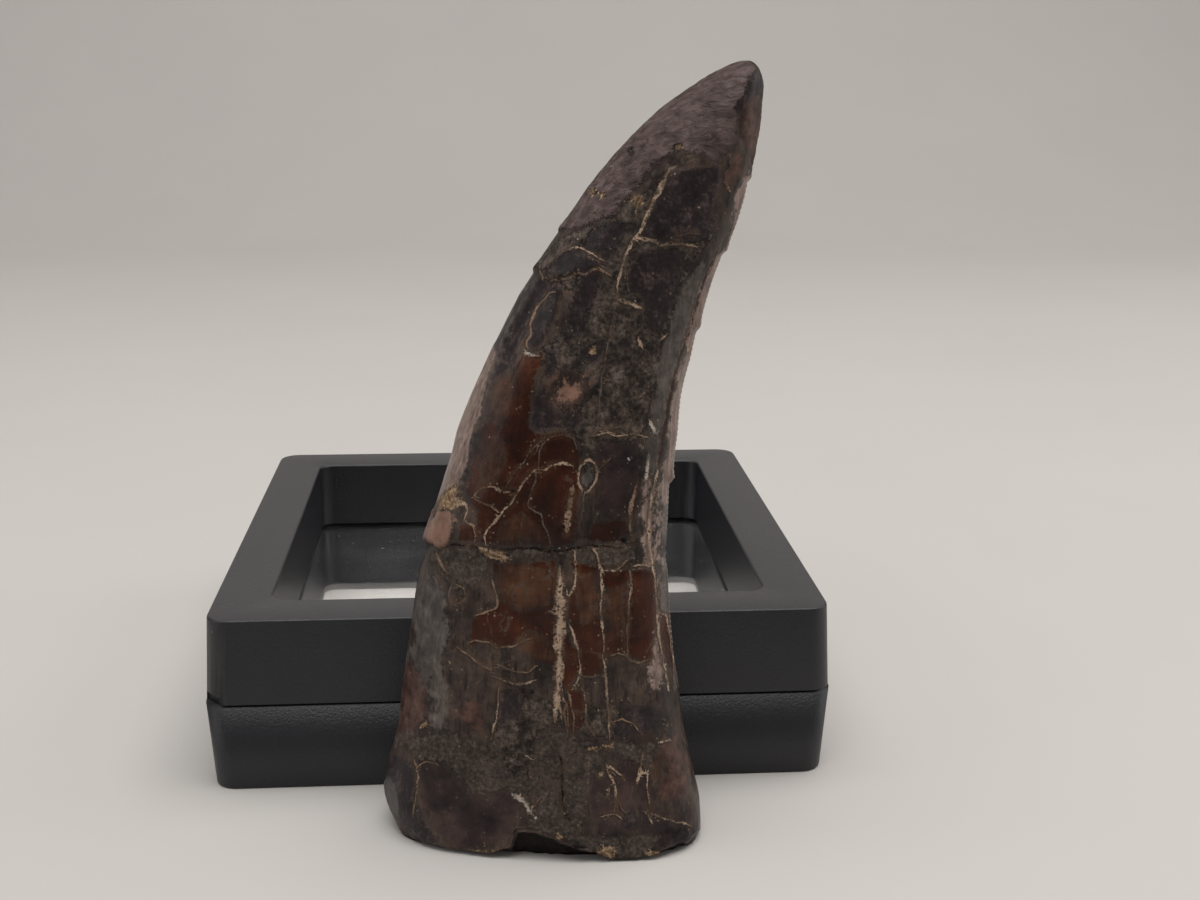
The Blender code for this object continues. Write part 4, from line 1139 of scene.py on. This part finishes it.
colour = coat(colour, masks["rust"], medium,
              [(0.36, (0.025, 0.013, 0.010)), (0.50, (0.073, 0.037, 0.029)), (0.64, (0.124, 0.070, 0.052))])
colour = coat(colour, masks["ash"], fossil.blend(fossil.blend(broad, streaks, 0.35), medium, 0.4),
              [(0.36, (0.027, 0.022, 0.019)), (0.47, (0.074, 0.062, 0.055)),
               (0.58, (0.155, 0.131, 0.118)), (0.70, (0.270, 0.235, 0.214))])
# painted sheen: the pale tone beside both cutting edges stands in for light grazing the flanks
colour = coat(colour, masks["edge_sheen"], fossil.blend(streaks, medium, 0.4),
              [(0.36, (0.091, 0.060, 0.049)), (0.50, (0.229, 0.162, 0.137)), (0.64, (0.351, 0.269, 0.229))])
colour = coat(colour, masks["coal"], fossil.blend(medium_and_fine, streaks, 0.12),
              [(0.38, (0.012, 0.009, 0.009)), (0.52, (0.031, 0.023, 0.023)),
               (0.60, (0.074, 0.054, 0.052)), (0.68, (0.180, 0.138, 0.129))])
colour = coat(colour, masks["flesh"], fossil.blend(broad, medium, 0.5),
              [(0.35, (0.125, 0.066, 0.047)), (0.62, (0.330, 0.190, 0.138))])
colour = coat(colour, masks["matrix"], fossil.blend(fine, medium, 0.35),
              [(0.38, (0.029, 0.022, 0.019)), (0.50, (0.062, 0.048, 0.040)),
               (0.60, (0.114, 0.089, 0.072)), (0.70, (0.258, 0.205, 0.166))])

WRINKLE_TURN = (LEAN, math.radians(28), TURN)
wrinkles = fossil.pattern(0.75, detail=6.0, roughness=0.68, stretch=(3.2, 1, 1), turn=WRINKLE_TURN, warp=0.7)
# the tip's lighter greys are partly wear and partly painted sheen
colour = coat(colour, masks["worn_and_sheen"], fossil.blend(wrinkles, medium, 0.35),
              [(0.36, (0.033, 0.020, 0.018)), (0.48, (0.088, 0.060, 0.056)),
               (0.60, (0.156, 0.109, 0.105)), (0.70, (0.220, 0.162, 0.154))])
colour = coat(colour, masks["crumb"], fine,
              [(0.34, (0.070, 0.038, 0.020)), (0.50, (0.230, 0.145, 0.080)), (0.66, (0.460, 0.345, 0.235))])
print("ground coat:", len(fossil.tree.nodes), "nodes")

# %% Crumbs that stick to the surface
crack_out_here = fossil.attribute("crack_out")
grains = fossil.cells(0.34, place=fossil.wander(0.5, 0.12))
grain_lot, grain_shade = fossil.lots(grains)
crust = fossil.plus(fossil.times(fossil.ramp_mask(9.0, 0.5, crack_out_here), 0.13), centred(medium, 0.6),
                    fossil.times(fossil.attribute("mottle"), 0.08),
                    fossil.times(fossil.attribute("matrix"), 0.05))
crust_mask = fossil.times(fossil.ramp_mask(0.965, 0.99, fossil.plus(grain_lot, crust)),
                          fossil.ramp_mask(0.42, 0.22, grains.outputs["Distance"]))
colour = coat(colour, fossil.times(crust_mask, 0.85), grain_shade,
              [(0.0, (0.090, 0.055, 0.034)), (0.55, (0.160, 0.108, 0.070)),
               (0.90, (0.230, 0.175, 0.125)), (1.0, (0.400, 0.360, 0.310))])
print("crumbs:", len(fossil.tree.nodes), "nodes")

# %% Lay the cracks over it
CRACK_SOFTNESS = 0.30
rim_noise = fossil.plus(centred(fine, 7.0), centred(medium, 7.0))
crack_side_here = fossil.attribute("crack_side")
across_crack = fossil.plus(fossil.maths("ABSOLUTE", crack_side_here), rim_noise)
crack_mask = fossil.times(fossil.ramp_mask(1.0 + CRACK_SOFTNESS, 1.0 - CRACK_SOFTNESS, across_crack),
                          fossil.ramp_mask(3.0, 1.6, crack_out_here))
faded = fossil.ramp_mask(0.40, 0.56, fossil.pattern(2.3, detail=4.0, roughness=0.6, warp=0.3))
faded = fossil.most(faded, fossil.ramp_mask(-0.8, -2.2, crack_out_here))
crack_mask = fossil.times(crack_mask, fossil.blend(0.30, 1.0, faded))
crack_tint_here = fossil.attribute("crack_tint")
crack_colour = fossil.colours(crack_tint_here,
                              [(0.0, (0.003, 0.002, 0.002)), (0.12, (0.060, 0.026, 0.018)),
                               (0.30, (0.150, 0.115, 0.098)), (0.55, (0.290, 0.190, 0.128)),
                               (0.80, (0.480, 0.345, 0.245)), (1.0, (0.520, 0.455, 0.390))])
crack_colour = fossil.layer(crack_colour, (0.060, 0.034, 0.022), fossil.ramp_mask(0.48, 0.38, fine))
stain = fossil.times(fossil.ramp_mask(6.0, 0.0, crack_out_here), fossil.ramp_mask(0.46, 0.60, medium))
colour = fossil.layer(colour, (0.095, 0.052, 0.028), fossil.times(stain, 0.45))
# painted shadow: a thin dark line along one side of each light crack
crack_shadow_side = fossil.times(fossil.ramp_mask(1.0, 1.7, crack_side_here),
                        fossil.ramp_mask(2.6, 1.2, crack_out_here),
                        fossil.ramp_mask(0.44, 0.54, medium), fossil.ramp_mask(0.15, 0.30, crack_tint_here))
colour = fossil.layer(colour, (0.003, 0.002, 0.002), fossil.times(crack_shadow_side, 0.4))
colour = fossil.layer(colour, crack_colour, crack_mask)
print("cracks:", len(fossil.tree.nodes), "nodes")

# %% Fine hairlines, specks and edges
webs = fossil.cells(4.2, feature="DISTANCE_TO_EDGE", stretch=(0.8, 0.8, 1.7), turn=TOOTH_TILT,
                    place=fossil.wander(1.2, 0.5))
web_line = fossil.times(fossil.ramp_mask(0.034, 0.010, webs.outputs["Distance"]),
                        fossil.ramp_mask(0.50, 0.58, broad), fossil.ramp_mask(0.44, 0.52, medium))
colour = fossil.layer(colour, (0.090, 0.064, 0.048), fossil.times(web_line, 0.75))
crumbs = fossil.cells(0.85, place=fossil.wander(0.6, 0.25))
crumb_lot, crumb_shade = fossil.lots(crumbs)
speck = fossil.times(fossil.ramp_mask(0.23, 0.12, crumbs.outputs["Distance"]),
                     fossil.ramp_mask(0.988, 0.991, crumb_lot))
colour = coat(colour, speck, crumb_shade, [(0.0, (0.190, 0.110, 0.040)), (0.5, (0.260, 0.205, 0.140)),
                                           (1.0, (0.480, 0.470, 0.430))])
colour = fossil.layer(colour, (0.300, 0.250, 0.215), fossil.times(fossil.attribute("bead_tops"), 0.30))
colour = fossil.layer(colour, (0.380, 0.320, 0.270), fossil.times(fossil.attribute("saw_rim"), 0.75))
# painted shade: grooves, pits and the gap under the foot go nearly black by their depth
painted_hollow_shade = fossil.times(fossil.ramp_mask(0.08, 0.35, fossil.attribute("hollow")), fossil.other_than(crack_mask))
colour = fossil.layer(colour, (0.004, 0.003, 0.003), fossil.times(painted_hollow_shade, 0.85))
fossil.set("Base Color", colour)
fossil.set("Specular IOR Level", 0.2)

# %% Gloss and relief of the fossil
ROUGHNESS = {"mottle": 0.62, "ember": 0.26, "amber": 0.26, "plum": 0.34, "rust": 0.40, "ash": 0.36,
             "edge_sheen": 0.34, "coal": 0.30, "flesh": 0.38, "matrix": 0.80, "worn_and_sheen": 0.50, "crumb": 0.90}
gloss = fossil.blend(0.30, 0.50, fossil.ramp_mask(0.40, 0.60, medium))
for finish, roughness in ROUGHNESS.items():
    gloss = fossil.blend(gloss, roughness, masks[finish])
gloss = fossil.blend(gloss, 0.85, crack_mask)
stuck_on = fossil.most(speck, crust_mask)
fossil.set("Roughness", fossil.blend(gloss, 0.80, stuck_on))

gritty = fossil.most(masks["matrix"], masks["crumb"], masks["mottle"], crack_mask)
# Each: what stands up, and by how many mm.
RELIEF = [(hair, 0.010), (fossil.times(wrinkles, masks["worn_and_sheen"]), 0.32),
          (fossil.times(fine, gritty), 0.14),
          (medium, 0.10), (fossil.times(flake_tone, masks["mottle"]), 0.05),
          (fossil.other_than(crack_mask), 0.015), (fossil.other_than(web_line), 0.03), (stuck_on, 0.05)]
relief = None
for height, depth in RELIEF:
    relief = fossil.bump(height, depth, relief)
fossil.set("Normal", relief)
tooth.data.materials.clear()
tooth.data.materials.append(fossil.material)
print("fossil finish:", len(fossil.tree.nodes), "nodes")

# %% [markdown]
# ## The display box
#
# The frame halves are plain injection mouldings, and the imported solids already have their
# shape. They are replaced by smooth-shaded copies of the same mesh, so that the round
# corners don't show facets. Black plastic is never just black: it has a fine spark-eroded
# grain and faint scuffs, and its top faces get a grey of dust and painted sheen.

# %% Mould the two frame halves
SHARP_ANGLE = math.radians(38)


def smooth_copy(node, name, paint):
    """A smooth-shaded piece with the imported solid's own shape, in the given material."""
    mesh = mesh_of(merged_copy(node), name)
    mesh.shade_smooth()
    mesh.set_sharp_from_angle(angle=SHARP_ANGLE)
    mesh.materials.clear()
    mesh.materials.append(paint.material)
    piece = put_in_scene(name, mesh)
    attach(piece, "root")
    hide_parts(node)
    return piece


plastic = Paint("black_plastic")
grain = plastic.pattern(0.30, detail=3.0, roughness=0.6)
clouds = plastic.pattern(14.0, detail=3.0)
dust = plastic.cells(1.6)
dust_dot = plastic.times(plastic.ramp_mask(0.075, 0.035, dust.outputs["Distance"]),
                         plastic.ramp_mask(0.90, 0.93, plastic.lots(dust)[0]))
scuffs = plastic.pattern(2.2, detail=6.0, roughness=0.7, stretch=(3.0, 1.0, 0.5), turn=(0.4, 0.9, 0.3))
scuff_mask = plastic.times(plastic.ramp_mask(0.66, 0.74, scuffs), plastic.ramp_mask(0.55, 0.70, clouds))
black = plastic.colours(clouds, [(0.3, (0.0105, 0.0105, 0.0135)), (0.7, (0.0150, 0.0150, 0.0185))])
black = plastic.layer(black, (0.045, 0.043, 0.042), plastic.times(scuff_mask, 0.5))
black = plastic.layer(black, (0.22, 0.21, 0.20), plastic.times(dust_dot, 0.6))
# top faces get a grey layer: partly settled dust, partly painted sheen where the light from above catches
# them
facing_way = plastic.node("ShaderNodeNewGeometry").outputs["Normal"]
upwards = plastic.node("ShaderNodeSeparateXYZ", {0: facing_way}).outputs["Z"]
top_dust_and_sheen = plastic.times(plastic.ramp_mask(0.6, 1.0, upwards), plastic.blend(0.6, 1.0, grain))
black = plastic.layer(black, (0.074, 0.070, 0.075), plastic.times(top_dust_and_sheen, 0.66))
plastic.set("Base Color", black)
plastic.set("Roughness", plastic.blend(0.36, 0.48, grain))
plastic.set("Specular IOR Level", 0.5)
plastic.set("Normal", plastic.bump(grain, 0.055))

for half in ("lower", "upper"):
    moulding = smooth_copy(half + "_frame", half + "_moulding", plastic)
print("two mouldings")

# %% Stretch the two films
# The films are glass to the eye, but lamps shine straight through them, so that the floor
# behind them is lit. A little dust makes them milky.
FILM_INDEX = 1.30
clear = Paint("clear_film")
motes = clear.cells(1.1, place=clear.wander(0.8, 0.3))
mote = clear.times(clear.ramp_mask(0.16, 0.07, motes.outputs["Distance"]),
                   clear.ramp_mask(0.90, 0.92, clear.lots(motes)[0]))
smudges = clear.ramp_mask(0.46, 0.72, clear.pattern(9.0, detail=5.0, roughness=0.6))
milky = clear.plus(clear.times(smudges, 0.008), clear.times(mote, 0.30), 0.002)
clear.set("Base Color", (0.98, 0.98, 0.98, 1.0))
clear.set("Transmission Weight", clear.other_than(milky))
clear.set("IOR", FILM_INDEX)
clear.set("Roughness", 0.02)
rays = clear.node("ShaderNodeLightPath")
see_through = clear.node("ShaderNodeBsdfTransparent", {"Color": (0.97, 0.97, 0.97, 1.0)})
mixed = clear.node("ShaderNodeMixShader", {0: rays.outputs["Is Shadow Ray"],
                                           1: clear.shader.outputs["BSDF"], 2: see_through.outputs[0]})
clear.tree.links.new(mixed.outputs[0], clear.tree.nodes["Material Output"].inputs["Surface"])
for half in ("lower", "upper"):
    sheet = smooth_copy(half + "_film", half + "_window", clear)
print("two films")

# %% [markdown]
# ## Floor, backdrop and light
#
# The photograph was taken on a pale sheet that curves up behind the object, under soft light
# from above. A sheet bent up at the back does both jobs, and large lamps keep every shadow
# soft.

# %% Roll out the sheet
SHEET_WIDTH, SHEET_FRONT, SHEET_BACK, SHEET_RISE = 4.0, -2.5, 0.42, 0.9
BEND_RADIUS = 0.30
BEND_STEPS = 16

bm = bmesh.new()
start = [bm.verts.new((side * SHEET_WIDTH / 2, SHEET_FRONT, 0)) for side in (-1, 1)]
edge = bm.edges.new(start)
run = bmesh.ops.extrude_edge_only(bm, edges=[edge])["geom"]
far = [part for part in run if isinstance(part, bmesh.types.BMVert)]
bmesh.ops.translate(bm, verts=far, vec=(0, SHEET_BACK - SHEET_FRONT, 0))
last_edge = [part for part in run if isinstance(part, bmesh.types.BMEdge) and set(part.verts) == set(far)]
bend = bmesh.ops.spin(bm, geom=far + last_edge, cent=(0, SHEET_BACK, BEND_RADIUS), axis=(1, 0, 0),
                      angle=math.pi / 2, steps=BEND_STEPS, use_duplicate=False)
top_edges = [part for part in bend["geom_last"] if isinstance(part, bmesh.types.BMEdge)]
rise = bmesh.ops.extrude_edge_only(bm, edges=top_edges)
bmesh.ops.translate(bm, verts=[part for part in rise["geom"] if isinstance(part, bmesh.types.BMVert)],
                    vec=(0, 0, SHEET_RISE))
bmesh.ops.recalc_face_normals(bm, faces=bm.faces)
sweep_mesh = mesh_of(bm, "paper_sweep")
sweep_mesh.shade_smooth()
sweep = put_in_scene("paper_sweep", sweep_mesh)

paper = Paint("warm_paper")
paper_cloud = paper.pattern(60.0, detail=2.0)
paper.set("Base Color", paper.layer((0.60, 0.575, 0.55), (0.64, 0.61, 0.58), paper_cloud))
paper.set("Roughness", 0.85)
sweep.data.materials.append(paper.material)
print("sheet:", len(sweep_mesh.polygons), "faces")

# %% Hang the lamps


def soft_lamp(name, place, target, width, height, watts, colour):
    lamp = put_in_scene(name, bpy.data.lights.new(name, "AREA"))
    lamp.data.shape = "RECTANGLE"
    lamp.data.size = width
    lamp.data.size_y = height
    lamp.data.energy = watts
    lamp.data.color = colour
    lamp.location = place
    lamp.rotation_euler = (Vector(target) - Vector(place)).to_track_quat("-Z", "Y").to_euler()


MIDDLE = (0.0, 0.0, 0.03)
soft_lamp("overhead", (0.03, -0.08, 0.75), MIDDLE, 0.8, 0.6, 5.35, (1.0, 0.985, 0.965))
soft_lamp("right_side", (0.60, 0.05, 0.30), MIDDLE, 0.5, 0.5, 1.0, (1.0, 0.97, 0.95))
soft_lamp("left_side", (-0.65, -0.20, 0.30), MIDDLE, 0.5, 0.5, 0.8, (0.97, 0.98, 1.0))

world = bpy.data.worlds.new("soft_room")
world.use_nodes = True
background = world.node_tree.nodes["Background"]
background.inputs["Color"].default_value = (1.0, 0.985, 0.965, 1.0)
background.inputs["Strength"].default_value = 0.16
bpy.context.scene.world = world
bpy.context.scene.view_settings.view_transform = "Standard"
print("three lamps")
